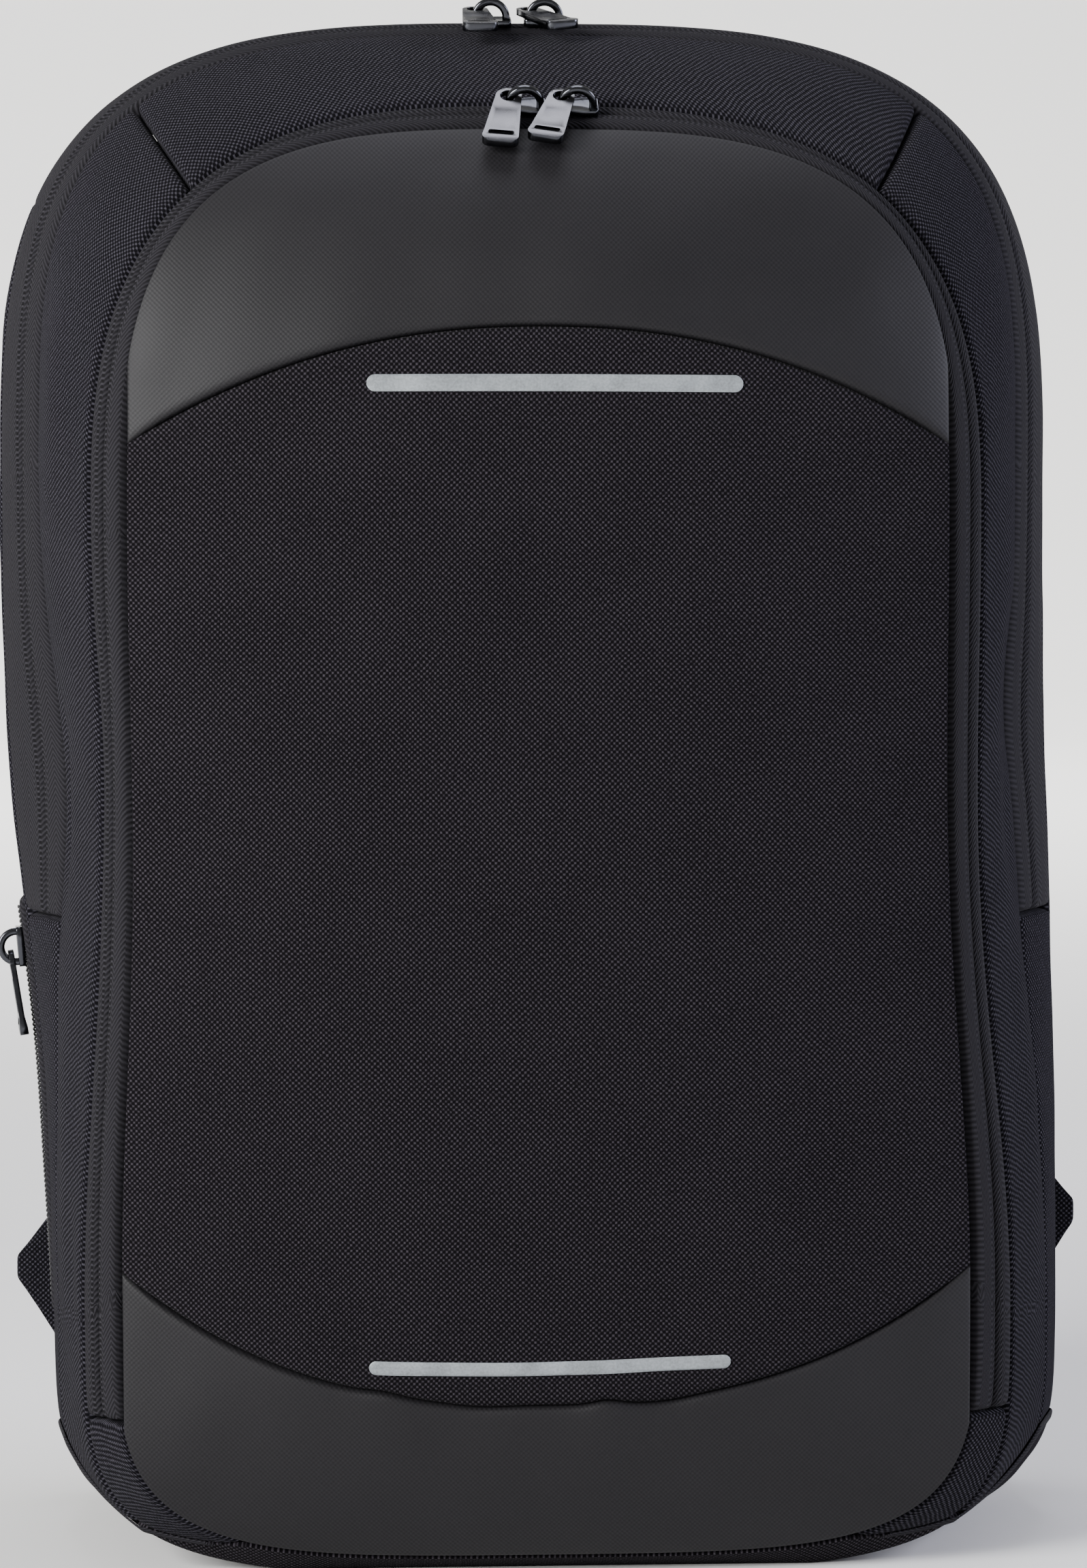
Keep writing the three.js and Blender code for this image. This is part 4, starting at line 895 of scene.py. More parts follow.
class BACKPACK_OT_front_panel(bpy.types.Operator):
    """Makes the woven front panel and its two coated yokes."""
    bl_idname = "backpack.front_panel"
    bl_label = "Front panel"

    def execute(self, context):
        thick = context.scene.backpack_sizes.cloth / MM
        column, part = np.meshgrid(crowded(PANEL_COLUMNS), edge_parts(PANEL_HEIGHT, 3.0))
        x = column * rim_half(part)
        low, high = yoke_seam(YOKE_BOTTOM, x) + SEAM_GAP, yoke_seam(YOKE_TOP, x) - SEAM_GAP
        middle, grid = panel_sheet("front_panel_cloth", x, lerp(low, high, part), np.abs(column), thick)
        dress(middle, "woven_nylon", "front_panel_mid")
        declare_sheet(grid)
        edge = SEAMS[PANEL_EDGE]
        upper = (edge.wide, edge.shoulder, edge.top, edge.square_top)
        lower = (edge.hip, edge.hip_at, edge.bottom, edge.square_bottom)
        self.yoke("front_yoke_top", YOKE_TOP, 1, upper, thick)
        self.yoke("front_yoke_bottom", YOKE_BOTTOM, -1, lower, thick)
        return {"FINISHED"}

    def yoke(self, name, seam, sign, rim, thick):
        """The coated cloth between a yoke seam and the panel's rim above or below it."""
        wide, start, end, power = rim
        column, step = np.meshgrid(crowded(PANEL_COLUMNS), edge_parts(YOKE_HEIGHT, 1.6))
        part = np.sin(step * math.pi / 2)
        x = column * rim_half(np.array([1.0 if sign > 0 else 0.0]))[0]
        rim_z = lerp(start, end, (1 - np.abs(x / wide) ** power) ** (1 / power))
        out = seam_normal(PANEL_EDGE, panel_station(x, rim_z)) * (1, 0, 1)
        rise = np.maximum(0.2, np.abs(unit(out)[..., 2]))
        slide = np.minimum(RIM_CLEARANCE, RIM_CLEARANCE / rise)
        z = lerp(yoke_seam(seam, x) + sign * SEAM_GAP, rim_z - sign * slide, part)
        yoke, grid = panel_sheet(name + "_cloth", x, z, np.maximum(part, np.abs(column)), thick)
        dress(yoke, "coated_nylon", name)
        declare_sheet(grid)


class BACKPACK_OT_zip_tapes(bpy.types.Operator):
    """Makes the tapes of the front zip and of the main zip."""
    bl_idname = "backpack.zip_tapes"
    bl_label = "Zip tapes"

    def execute(self, context):
        thick = context.scene.backpack_sizes.tape / MM
        front, main = at_height(FRONT_ZIP, FRONT_ZIP_END), at_height(MAIN_ZIP, MAIN_ZIP_END)
        # Node, strip, end, share of the strip's width, how far the two long edges turn in, and slit
        tapes = (
            ("front_zip_tape_inner", FRONT_ZIP, front, (0, FRONT_SLIT), (1.3, 0.45), FRONT_SLIT),
            ("front_zip_tape_outer", FRONT_ZIP, front, (FRONT_SLIT, 1), (0.45, 0.9), FRONT_SLIT),
            ("main_zip_tape_front", MAIN_ZIP, main, (0, MAIN_SLIT), (0.9, 0.45), MAIN_SLIT),
            ("main_zip_tape_rear", MAIN_ZIP, main, (MAIN_SLIT, 1), (0.45, 0.8), MAIN_SLIT),
        )
        for node, strip, end, share, dips, slit in tapes:
            sew_strip(node, "zip_tape", strip, mirrored(end), end, thick, share=share, dips=dips, slit=slit,
                      wave=0.25, spacing=1.8)
        return {"FINISHED"}


class BACKPACK_OT_bands(bpy.types.Operator):
    """Makes the band between the two zips: its top and its two sides."""
    bl_idname = "backpack.bands"
    bl_label = "Bands"

    def execute(self, context):
        sew_hoop("top_band", "side_band_", BAND, BAND_SEAM, dips=(0.9, 0.35), wave=0.9)
        return {"FINISHED"}


class BACKPACK_OT_lower_cloth(bpy.types.Operator):
    """Makes the cloth below the ends of the zips: front corners and lower sides."""
    bl_idname = "backpack.lower_cloth"
    bl_label = "Lower cloth"

    def execute(self, context):
        thick = context.scene.backpack_sizes.cloth / MM
        pieces = (("front_corner_", FRONT_ZIP, FRONT_ZIP_END), ("lower_side_", MAIN_ZIP, MAIN_ZIP_END))
        for side in (-1, 1):
            for node, strip, top in pieces:
                ends = on_side(side, at_height(strip, top), at_base(strip))
                sew_strip(node + SIDE_NAME[side], "band_nylon", strip, *ends, thick, dips=(0.9, 0.9),
                          spacing=2.2)
        return {"FINISHED"}


class BACKPACK_OT_gussets(bpy.types.Operator):
    """Makes the rear gusset: its top and its two sides."""
    bl_idname = "backpack.gussets"
    bl_label = "Rear gussets"

    def execute(self, context):
        sew_hoop("rear_gusset_top", "rear_gusset_", GUSSET, GUSSET_SEAM, dips=(0.8, 0.8), ends=(0.12, 0.12),
                 wave=0.8)
        return {"FINISHED"}


class BACKPACK_OT_base(bpy.types.Operator):
    """Makes the base panel and the narrow strips laid on its side seams."""
    bl_idname = "backpack.base"
    bl_label = "Base"

    def execute(self, context):
        thick = context.scene.backpack_sizes.cloth / MM
        outer, inner, cloth = [], [], []
        depth = 0.0
        spread = np.sin(np.linspace(0, math.pi / 2, BASE_COLUMNS)) ** 1.4
        for strip, across in self.rows():
            right = lerp(at_base(strip)(across) + BASE_INSIDE, 3, spread)
            station = np.concatenate([right, -right[-2::-1]])
            line = lerp(seam_points(strip, station), seam_points(strip + 1, station), across)
            if outer:
                depth += np.linalg.norm(line[BASE_COLUMNS] - outer[-1][BASE_COLUMNS])
            outer.append(line)
            inner.append(line + strip_inward(strip, station, np.full_like(station, across)) * thick)
            cloth.append(np.stack([line[:, 0], np.full(len(line), depth)], axis=-1))
        outer, inner = np.array(outer), np.array(inner)
        base = sheet_object("base_panel_cloth", outer, inner, np.array(cloth))
        dress(base, "band_nylon", "base_panel", look="woven_nylon")
        edges = [self.edge(side) for side in (-1, 1)]
        declare_sheet(outer)
        return {"FINISHED"}

    def rows(self):
        """The strip and the place across it of each row, the first and the last a little way in."""
        rows = [(strip, cell / count) for strip, count in BASE_ROWS for cell in range(1, count + 1)]
        return [(FRONT_ZIP, BASE_FRONT)] + rows[:-1] + [(GUSSET, BASE_BACK)]

    def edge(self, side):
        """A narrow folded strip over the seam between the base and one side."""
        row = [(strip, lerp(start, end, cell / count)) for strip, start, end, count in EDGE_RUNS
               for cell in range(count)]
        row.append((GUSSET, EDGE_RUNS[-1][2]))
        places = np.linspace(-1, 1, 9)
        heights = (EDGE_PROUD + EDGE_CROWN * (1 - places ** 4), np.full(9, EDGE_BACK))
        grids = [[], []]
        for strip, across in row:
            middle = side * at_base(strip)(across)
            pair = strip_points(strip, np.array([middle - STEP, middle + STEP]), across)
            station = middle + places * EDGE_HALF / np.linalg.norm(pair[1] - pair[0]) * STEP
            for grid, proud in zip(grids, heights):
                grid.append(strip_points(strip, station, np.full(9, across), proud))
        outer, inner = np.array(grids[0]), np.array(grids[1])
        outer[..., 2] = np.maximum(outer[..., 2], 0)
        run = line_reach(outer[:, 4])
        # The cloth's measure across starts 7 mm away, clear of the rows of coil stitches.
        across = np.tile(places * EDGE_HALF + 7, (len(row), 1))
        cloth = np.stack([np.repeat(run[:, None], 9, 1), across], axis=-1)
        name = "base_edge_" + SIDE_NAME[side]
        return dress(sheet_object(name + "_tape", outer, inner, cloth), "zip_tape", name)


def resampled(line, reach, even):
    """Points at the given distances along a line."""
    return np.stack([np.interp(even, reach, line[:, axis]) for axis in range(3)], axis=-1)


def route(points, count):
    """Equally spaced points on a smooth line through some points, its directions and its reach, in mm."""
    points = np.array(points, float)
    ends = np.vstack([2 * points[0] - points[1], points, 2 * points[-1] - points[-2]])
    part = np.linspace(0, 1, 80, endpoint=False)[:, None]
    line = []
    for at in range(len(points) - 1):
        a, b, c, d = ends[at:at + 4]
        before, here, after = (math.sqrt(np.linalg.norm(q - p)) for p, q in ((a, b), (b, c), (c, d)))
        leave = ((b - a) / before - (c - a) / (before + here) + (c - b) / here) * here
        arrive = ((c - b) / here - (d - b) / (here + after) + (d - c) / after) * here
        line.append(b + leave * part + (3 * (c - b) - 2 * leave - arrive) * part ** 2
                    + (2 * (b - c) + leave + arrive) * part ** 3)
    line = np.vstack(line + [points[-1:]])
    reach = line_reach(line)
    even = np.linspace(0, reach[-1], count)
    line = resampled(line, reach, even)
    return line, unit(np.gradient(line, axis=0)), even


def band_grids(points, count, width, side, profile, places):
    """The two faces of a band along a route. width and side give its width and the direction of its width by
    the part of the way, and profile gives its half thickness by place across and part of the way."""
    line, ahead, even = route(points, count)
    part = even / even[-1]
    across = np.array([side(at) for at in part])
    across = unit(across - ahead * (across * ahead).sum(-1, keepdims=True))
    normal = np.cross(ahead, across)
    wide = width(part) / 2
    middle = line[None] + across[None] * (places[:, None] * wide[None])[..., None]
    half = profile(places[:, None], part[None])[..., None] * normal[None]
    cloth = np.stack(np.broadcast_arrays(even[None], places[:, None] * wide[None]), axis=-1)
    return middle + half, middle - half, cloth


def back_surface(x, z):
    return SEAMS[BACK_EDGE].y_bottom + 1 + BACK_BULGE * bulge_share(BACK_EDGE, x, z)


def strap_points(side):
    """The middle line of a shoulder strap."""
    on_back = [(side * x, back_surface(x - STRAP_TOP_WIDTH / 2, z) + GAP + STRAP_THICK / 2 + lift, z)
               for x, z, lift in STRAP_ON_BACK]
    return on_back + [(side * x, y, z) for x, y, z in STRAP_FREE]


def strap_end(side):
    """The strap's lower end, the direction of its fall, and the buckle's width and inward directions."""
    line, ahead, _ = route(strap_points(side), 400)
    fall = ahead[-1]
    across = unit(np.array((1.0, 0, 0)) - fall * fall[0])
    return line[-1], fall, across, -np.cross(across, fall)


def wing_root(side):
    z = WING_HEIGHT[side]
    point = seam_points(BACK_EDGE, side * station_at(BACK_EDGE, z))
    return np.array((point[0], WING_BACK, z))


def placed(origin, x_axis, z_axis):
    """The frame of a piece from its origin and its x and z directions."""
    z = unit(np.array(z_axis, float))
    x = unit(np.array(x_axis, float) - z * np.dot(x_axis, z))
    axes = np.stack([x, np.cross(z, x), z, np.array(origin, float)], axis=-1)
    return Matrix(np.vstack([axes, (0, 0, 0, 1)]).tolist())


def slider_frame(strip, station, across, proud=0.0):
    """The frame of a slider on a zip: x along the zip, z away from the cloth."""
    ends = strip_points(strip, np.array([station - STEP, station + STEP]), across)
    return placed(strip_points(strip, station, across, proud), ends[1] - ends[0],
                  -strip_inward(strip, station, across))


def station_for_x(strip, across, x):
    """The station over the top of the bag at which a line on a strip passes x."""
    low, high = -0.6, 0.6
    for _ in range(40):
        middle = (low + high) / 2
        low, high = (middle, high) if strip_points(strip, middle, across)[0] < x else (low, middle)
    return low


def pull_frame(slider, heading, dip):
    """The frame of a pull, whose eye sits round one leg of the slider's arch."""
    eye = (PULL_LEG * (ARCH_SPAN - ARCH_WIRE) / 2, 0, (SLIDER_BODY + ARCH_TOP - ARCH_WIRE) / 2)
    return (slider @ Matrix.Translation(eye) @ Matrix.Rotation(math.radians(heading), 4, "Z")
            @ Matrix.Rotation(math.radians(dip), 4, "X"))


def side_share():
    """The side zip's width as a share of the gusset's."""
    return SIDE_WIDTH / (SEAMS[BACK_EDGE].y_side - SEAMS[MAIN_EDGE].y_side)


def zip_frames():
    """Slider node, pull node, body and the two frames of each zip."""
    frames = []
    for one in ZIPS:
        slider = slider_frame(one.strip, station_for_x(one.strip, one.slit, one.x), one.slit)
        names = [one.zip + kind + one.side for kind in ("_zip_slider_", "_zip_pull_", "_pull_")]
        frames.append((*names, slider, pull_frame(slider, -one.lean, one.dip)))
    slider = slider_frame(GUSSET, -station_at(MAIN_EDGE, SIDE_SLIDER), SIDE_ACROSS + side_share() / 2,
                          SIDE_PROUD + SIDE_SEAT)
    pull = pull_frame(slider, -90, SIDE_DIP)
    return frames + [("side_zip_slider", "side_zip_pull", "side_pull", slider, pull)]


def pick(piece):
    """Makes a piece the only one selected, and active."""
    bpy.ops.object.select_all(action="DESELECT")
    bpy.context.view_layer.objects.active = piece
    piece.select_set(True)


def choose(kind, test):
    """Selects the vertices, edges or faces in edit mode whose middle and self pass a test."""
    bpy.ops.mesh.select_all(action="DESELECT")
    bpy.ops.mesh.select_mode(type=kind)
    work = bmesh.from_edit_mesh(bpy.context.edit_object.data)
    work.normal_update()
    for item in {"VERT": work.verts, "EDGE": work.edges, "FACE": work.faces}[kind]:
        middle = item.co if kind == "VERT" else sum((v.co for v in item.verts), Vector()) / len(item.verts)
        item.select_set(bool(test(middle, item)))
    bmesh.update_edit_mesh(bpy.context.edit_object.data)


def is_upright(edge):
    ends = edge.verts[1].co - edge.verts[0].co
    return abs(ends.z) > 0.9 * ends.length


def block(name, size, middle):
    """A box of a size in mm, in edit mode, with its place in its mesh."""
    if bpy.context.object and bpy.context.object.mode != "OBJECT":
        bpy.ops.object.mode_set(mode="OBJECT")
    bpy.ops.object.select_all(action="DESELECT")
    bpy.ops.mesh.primitive_cube_add(size=1, location=(0, 0, 0))
    piece = bpy.context.active_object
    piece.name = name
    bpy.ops.object.mode_set(mode="EDIT")
    bpy.ops.mesh.select_all(action="SELECT")
    bpy.ops.transform.resize(value=size)
    bpy.ops.transform.translate(value=middle)
    return piece


def rod(name, radius, depth):
    """A round rod along z, about the origin."""
    bpy.ops.object.select_all(action="DESELECT")
    bpy.ops.mesh.primitive_cylinder_add(vertices=40, radius=radius, depth=depth, location=(0, 0, 0))
    piece = bpy.context.active_object
    piece.name = name
    return piece


def cut_across(places, axis):
    """Cuts the mesh in edit mode at places along an axis, so that there are edges to move."""
    for at in places:
        bpy.ops.mesh.select_all(action="SELECT")
        bpy.ops.mesh.bisect(plane_co=Vector(axis) * at, plane_no=axis)


def round_corners(test, radius, segments):
    """Rounds the upright edges in edit mode whose middle passes a test."""
    choose("EDGE", lambda middle, edge: is_upright(edge) and test(middle))
    bpy.ops.mesh.bevel(offset=radius, segments=segments, affect="EDGES")


def combine(piece, other, operation):
    """Joins another solid to a piece or cuts it out, and removes it."""
    pick(piece)
    step = piece.modifiers.new("combine", "BOOLEAN")
    step.operation, step.solver, step.object = operation, "EXACT", other
    bpy.ops.object.modifier_apply(modifier=step.name)
    bpy.data.objects.remove(other, do_unlink=True)


def cut_slot(piece, size, middle, corner):
    """Cuts a slot with round corners through a piece."""
    slot = block("slot_cut", size, middle)
    round_corners(lambda middle: True, corner, 3)
    bpy.ops.object.mode_set(mode="OBJECT")
    combine(piece, slot, "DIFFERENCE")


def round_edges(piece, width, segments=2):
    """Rounds the sharp edges of a cast or moulded piece."""
    pick(piece)
    step = piece.modifiers.new("round", "BEVEL")
    step.width, step.segments, step.use_clamp_overlap = width, segments, True
    step.limit_method, step.angle_limit = "ANGLE", math.radians(32)
    bpy.ops.object.modifier_apply(modifier=step.name)
    bpy.ops.object.shade_smooth_by_angle(angle=CAST_SHARP)


def placed_copy(model, name, matrix):
    """A copy of a piece modelled in mm, put in its place in the row."""
    mesh = model.data.copy()
    mesh.name = name
    mesh.transform(Matrix.Scale(MM, 4) @ Matrix.Translation(Vector(-ORIGIN)) @ matrix)
    mesh.update()
    return new_object(name, mesh)


def model_slider():
    """A slider: a waisted plate with a sunk face, and the arch that holds the pull."""
    plate = block("slider_model", (SLIDER_LENGTH, SLIDER_WIDTH, SLIDER_BODY - GAP),
                  (0, 0, (SLIDER_BODY + GAP) / 2))
    cut_across((-0.28 * SLIDER_LENGTH, 0.12 * SLIDER_LENGTH), (1, 0, 0))
    choose("VERT", lambda middle, _: middle.x < -0.2 * SLIDER_LENGTH)
    bpy.ops.transform.resize(value=(1, SLIDER_WAIST, 1), center_override=(0, 0, 0))
    round_corners(lambda middle: abs(middle.x) > SLIDER_LENGTH * 0.45, 1.1, 3)
    choose("FACE", lambda middle, face: face.normal.z > 0.9)
    bpy.ops.mesh.inset(thickness=0.7, depth=-0.35)
    bpy.ops.object.mode_set(mode="OBJECT")
    arch = model_arch()
    round_edges(arch, 0.7, segments=3)
    round_edges(plate, 0.25)
    combine(plate, arch, "UNION")
    bpy.ops.object.shade_smooth_by_angle(angle=CAST_SHARP)
    return plate


def model_arch():
    """The arch: a flat wire that rises from its foot in the plate, turns over and comes down again."""
    radius = (ARCH_SPAN - ARCH_WIRE) / 2
    centre = ARCH_TOP - ARCH_WIRE / 2 - radius
    foot = SLIDER_BODY - 1.1
    bpy.ops.object.select_all(action="DESELECT")
    bpy.ops.mesh.primitive_plane_add(size=1, location=(0, 0, 0))
    arch = bpy.context.active_object
    bpy.ops.object.mode_set(mode="EDIT")
    bpy.ops.mesh.select_all(action="SELECT")
    bpy.ops.transform.resize(value=(ARCH_WIRE, ARCH_WIDTH, 1))
    bpy.ops.transform.translate(value=(-radius, 0, foot))
    bpy.ops.mesh.extrude_region_move(TRANSFORM_OT_translate={"value": (0, 0, centre - foot)})
    bpy.ops.mesh.spin(steps=18, angle=-math.pi, center=(0, 0, centre), axis=(0, 1, 0))
    bpy.ops.mesh.extrude_region_move(TRANSFORM_OT_translate={"value": (0, 0, foot - centre)})
    bpy.ops.mesh.select_all(action="SELECT")
    bpy.ops.mesh.remove_doubles(threshold=0.001)
    bpy.ops.mesh.delete_loose()
    bpy.ops.mesh.select_all(action="SELECT")
    bpy.ops.mesh.normals_make_consistent(inside=False)
    bpy.ops.object.mode_set(mode="OBJECT")
    return arch


def model_pull():
    """A die-cast pull along -y from its eye: a tapered bar with a sunk field, a slot and a thick end."""
    tip, neck = -(PULL_LENGTH - EYE_RADIUS), -0.4
    field_start, field_end, end_start = -4.9, -16.4, -19.9
    bar = block("pull_model", (PULL_WIDTH, neck - tip, PULL_THICK), (0, (tip + neck) / 2, 0))
    choose("VERT", lambda middle, _: middle.y > neck - 0.1)
    bpy.ops.transform.resize(value=(0.7, 1, 1), center_override=(0, 0, 0))
    round_corners(lambda middle: middle.y < tip + 1, 2.4, 6)
    cut_across((field_start, field_end, end_start), (0, 1, 0))
    choose("FACE", lambda middle, face: (abs(face.normal.z) > 0.9
                                         and field_end + 0.2 < middle.y < field_start - 0.3))
    bpy.ops.mesh.inset(thickness=1.4, depth=-0.5)
    choose("VERT", lambda middle, _: middle.y < end_start + 0.1)
    bpy.ops.transform.resize(value=(1, 1, 1.5), center_override=(0, 0, 0))
    bpy.ops.object.mode_set(mode="OBJECT")
    combine(bar, rod("eye_ring", EYE_RADIUS, PULL_THICK), "UNION")
    combine(bar, rod("eye_hole", EYE_HOLE + EYE_EASE, CUT_DEPTH), "DIFFERENCE")
    cut_slot(bar, (7.4, 2.4, CUT_DEPTH), (0, -18.2, 0), 0.7)
    round_edges(bar, 0.3)
    return bar


def model_buckle():
    """A ladder buckle: a moulded plate with two slots and a bar between them."""
    plate = block("buckle_model", (BUCKLE_WIDTH, BUCKLE_HEIGHT, BUCKLE_THICK), (0, 0, 0))
    round_corners(lambda middle: True, BUCKLE_CORNER, 5)
    bpy.ops.object.mode_set(mode="OBJECT")
    for end in (-1, 1):
        cut_slot(plate, (BUCKLE_SLOT, BUCKLE_SLOT_HEIGHT, 10), (0, end * BUCKLE_SLOT_AT, 0), 1)
    round_edges(plate, 0.6, segments=3)
    return plate


def puff(piece, voxel, pressure, cap):
    """Swells a padded piece with a short cloth run, and holds every point within cap of where it started."""
    pick(piece)
    grid = piece.modifiers.new("grid", "REMESH")
    grid.mode, grid.voxel_size = "VOXEL", voxel * MM
    bpy.ops.object.modifier_apply(modifier=grid.name)
    count = len(piece.data.vertices)
    rest = np.empty(count * 3)
    piece.data.vertices.foreach_get("co", rest)
    cloth = piece.modifiers.new("swell", "CLOTH")
    cloth.settings.use_pressure = True
    cloth.settings.uniform_pressure_force = pressure
    cloth.settings.effector_weights.gravity = 0
    cloth.collision_settings.use_collision = False
    scene = bpy.context.scene
    for step in range(1, SWELL_FRAMES + 1):
        scene.frame_set(step)
    swollen = np.empty(count * 3)
    graph = bpy.context.evaluated_depsgraph_get()
    piece.evaluated_get(graph).data.vertices.foreach_get("co", swollen)
    piece.modifiers.remove(cloth)
    scene.frame_set(1)
    move = (swollen - rest).reshape(-1, 3)
    far = np.linalg.norm(move, axis=1, keepdims=True)
    move *= np.minimum(1, cap * MM / np.maximum(far, 1e-9))
    piece.data.vertices.foreach_set("co", rest + move.ravel())
    finer = piece.modifiers.new("finer", "SUBSURF")
    finer.levels = finer.render_levels = 1
    bpy.ops.object.modifier_apply(modifier=finer.name)
    piece.data.shade_smooth()
    piece.data.update()


class BACKPACK_OT_side_zip(bpy.types.Operator):
    """Makes the short zip on the left side: its tape, and the coil that shows along its middle."""
    bl_idname = "backpack.side_zip"
    bl_label = "Side zip"

    def execute(self, context):
        thick = context.scene.backpack_sizes.tape / MM
        start, end = (at_station(-station_at(MAIN_EDGE, z)) for z in (SIDE_TO, SIDE_FROM))
        share = (SIDE_ACROSS, SIDE_ACROSS + side_share())
        middle = sum(share) / 2
        tape, grid = strip_sheet("side_zip_tape_cloth", GUSSET, start, end, thick, share=share, slit=middle,
                                 dips=(0.3, 0.3), ends=(0.3, 0.3), proud=SIDE_PROUD, spacing=1.2, wave=0.2)
        dress(tape, "zip_tape", "side_zip_tape")
        coil = self.coil(context.scene.backpack_sizes.pitch / MM, middle)
        declare_sheet(grid)
        return {"FINISHED"}

    def coil(self, pitch, across):
        """A nylon coil along the middle of the tape, one flat turn after another."""
        first, last = (-station_at(MAIN_EDGE, z) for z in (SIDE_TO + COIL_SHORT, SIDE_FROM - COIL_SHORT))
        stations = np.linspace(first, last, 600)
        line = strip_points(GUSSET, stations, across, SIDE_PROUD + 0.1)
        reach = line_reach(line)
        even = np.linspace(0, reach[-1], int(reach[-1] / pitch) * 10)
        line = resampled(line, reach, even)
        out = -strip_inward(GUSSET, np.interp(even, reach, stations), np.full(len(even), across))
        side = unit(np.cross(out, unit(np.gradient(line, axis=0))))
        angle = even / pitch * 2 * math.pi
        points = (line + side * (COIL_HALF_WIDTH * np.sin(angle))[:, None]
                  + out * (COIL_HALF_HEIGHT * np.cos(angle))[:, None])
        curve = bpy.data.curves.new("side_zip_coil", "CURVE")
        curve.dimensions, curve.bevel_depth, curve.bevel_resolution = "3D", COIL_WIRE * MM, 1
        curve.use_fill_caps = True
        spline = curve.splines.new("POLY")
        spline.points.add(len(points) - 1)
        flat = np.concatenate([(points - ORIGIN) * MM, np.ones((len(points), 1))], axis=1)
        spline.points.foreach_set("co", flat.ravel())
        pick(new_object("side_zip_coil", curve))
        bpy.ops.object.convert(target="MESH")
        piece = bpy.context.active_object
        piece.data.shade_smooth()
        return dress(piece, "buckle_plastic")


class BACKPACK_OT_back_panel(bpy.types.Operator):
    """Makes the padded back panel, swollen by a cloth run."""
    bl_idname = "backpack.back_panel"
    bl_label = "Back panel"

    def execute(self, context):
        seam = SEAMS[BACK_EDGE]
        inset, clear = 2.4, 0.4
        highest = seam.top - clear
        place, part = np.meshgrid(crowded(41), crowded(61) / 2 + 0.5)
        # The run draws the lower border in, so it starts lower than it comes to lie.
        z = lerp(-2.2, seam.top - inset, part)
        nearer = np.where(z > seam.shoulder, np.minimum(z + inset, highest), np.maximum(z + 1.8, clear))
        x = place * (panel_half(BACK_EDGE, nearer) - inset)
        shift = lean_shift(np.full_like(z, seam.y_side), z)
        # The pad starts 1.6 mm inside the surface that it swells to, less so along its border.
        rim = 1.2 * (1 - bulge_share(BACK_EDGE, x, np.clip(z, clear, highest))) ** 2
        back = np.stack([x + shift, back_surface(x, np.maximum(z, clear)) - 1.6 + rim, z], axis=-1)
        front = np.stack([x + shift, np.full_like(z, seam.y_bottom - 6.6), z], axis=-1)
        pad = sheet_object("back_panel_pad", back, front, np.stack([x, z], axis=-1))
        puff(pad, voxel=5, pressure=4, cap=2.6)
        dress(pad, "padded_mesh", "back_panel")
        return {"FINISHED"}


class BACKPACK_OT_straps(bpy.types.Operator):
    """Makes the padded shoulder straps, each a soft core between two sewn borders."""
    bl_idname = "backpack.straps"
    bl_label = "Shoulder straps"

    def execute(self, context):
        border = np.linspace(0.8, 1, 9)
        places = np.concatenate([-border[::-1], np.linspace(-0.76, 0.76, 27), border])
        for side in (-1, 1):
            front, back, cloth = band_grids(strap_points(side), 130, self.width,
                                            lambda part: np.array((1.0, 0, 0)), self.half_thick, places)
            name = "shoulder_strap_" + SIDE_NAME[side]
            strap = sheet_object(name + "_pad", front, back, cloth)
            dress(strap, "padded_mesh", name)
        return {"FINISHED"}

    @staticmethod
    def width(part):
        """Wider a third of the way down, and narrower over the last fifth."""
        taper = STRAP_TAPER * smooth((part - 0.8) / 0.2)
        return lerp(STRAP_TOP_WIDTH, STRAP_WIDTH, smooth(part * 3)) - taper

    @staticmethod
    def half_thick(place, part):
        """A full core that thins at both ends, and a thin border with a stitched groove in it."""
        core = np.clip(1 - (np.abs(place) / 0.84) ** 6, 0, 1) ** 0.5
        groove = 0.7 * hill(np.abs(place) - 0.86, 0.025)
        border = 1.5 * np.clip((1 - np.abs(place) ** 24), 0, 1) ** 0.5 - groove
        ends = smooth(np.minimum(part, 1 - part) / 0.03)
        return 0.15 + np.maximum(border, (STRAP_THICK / 2 - 0.3) * core * (0.35 + 0.65 * ends))


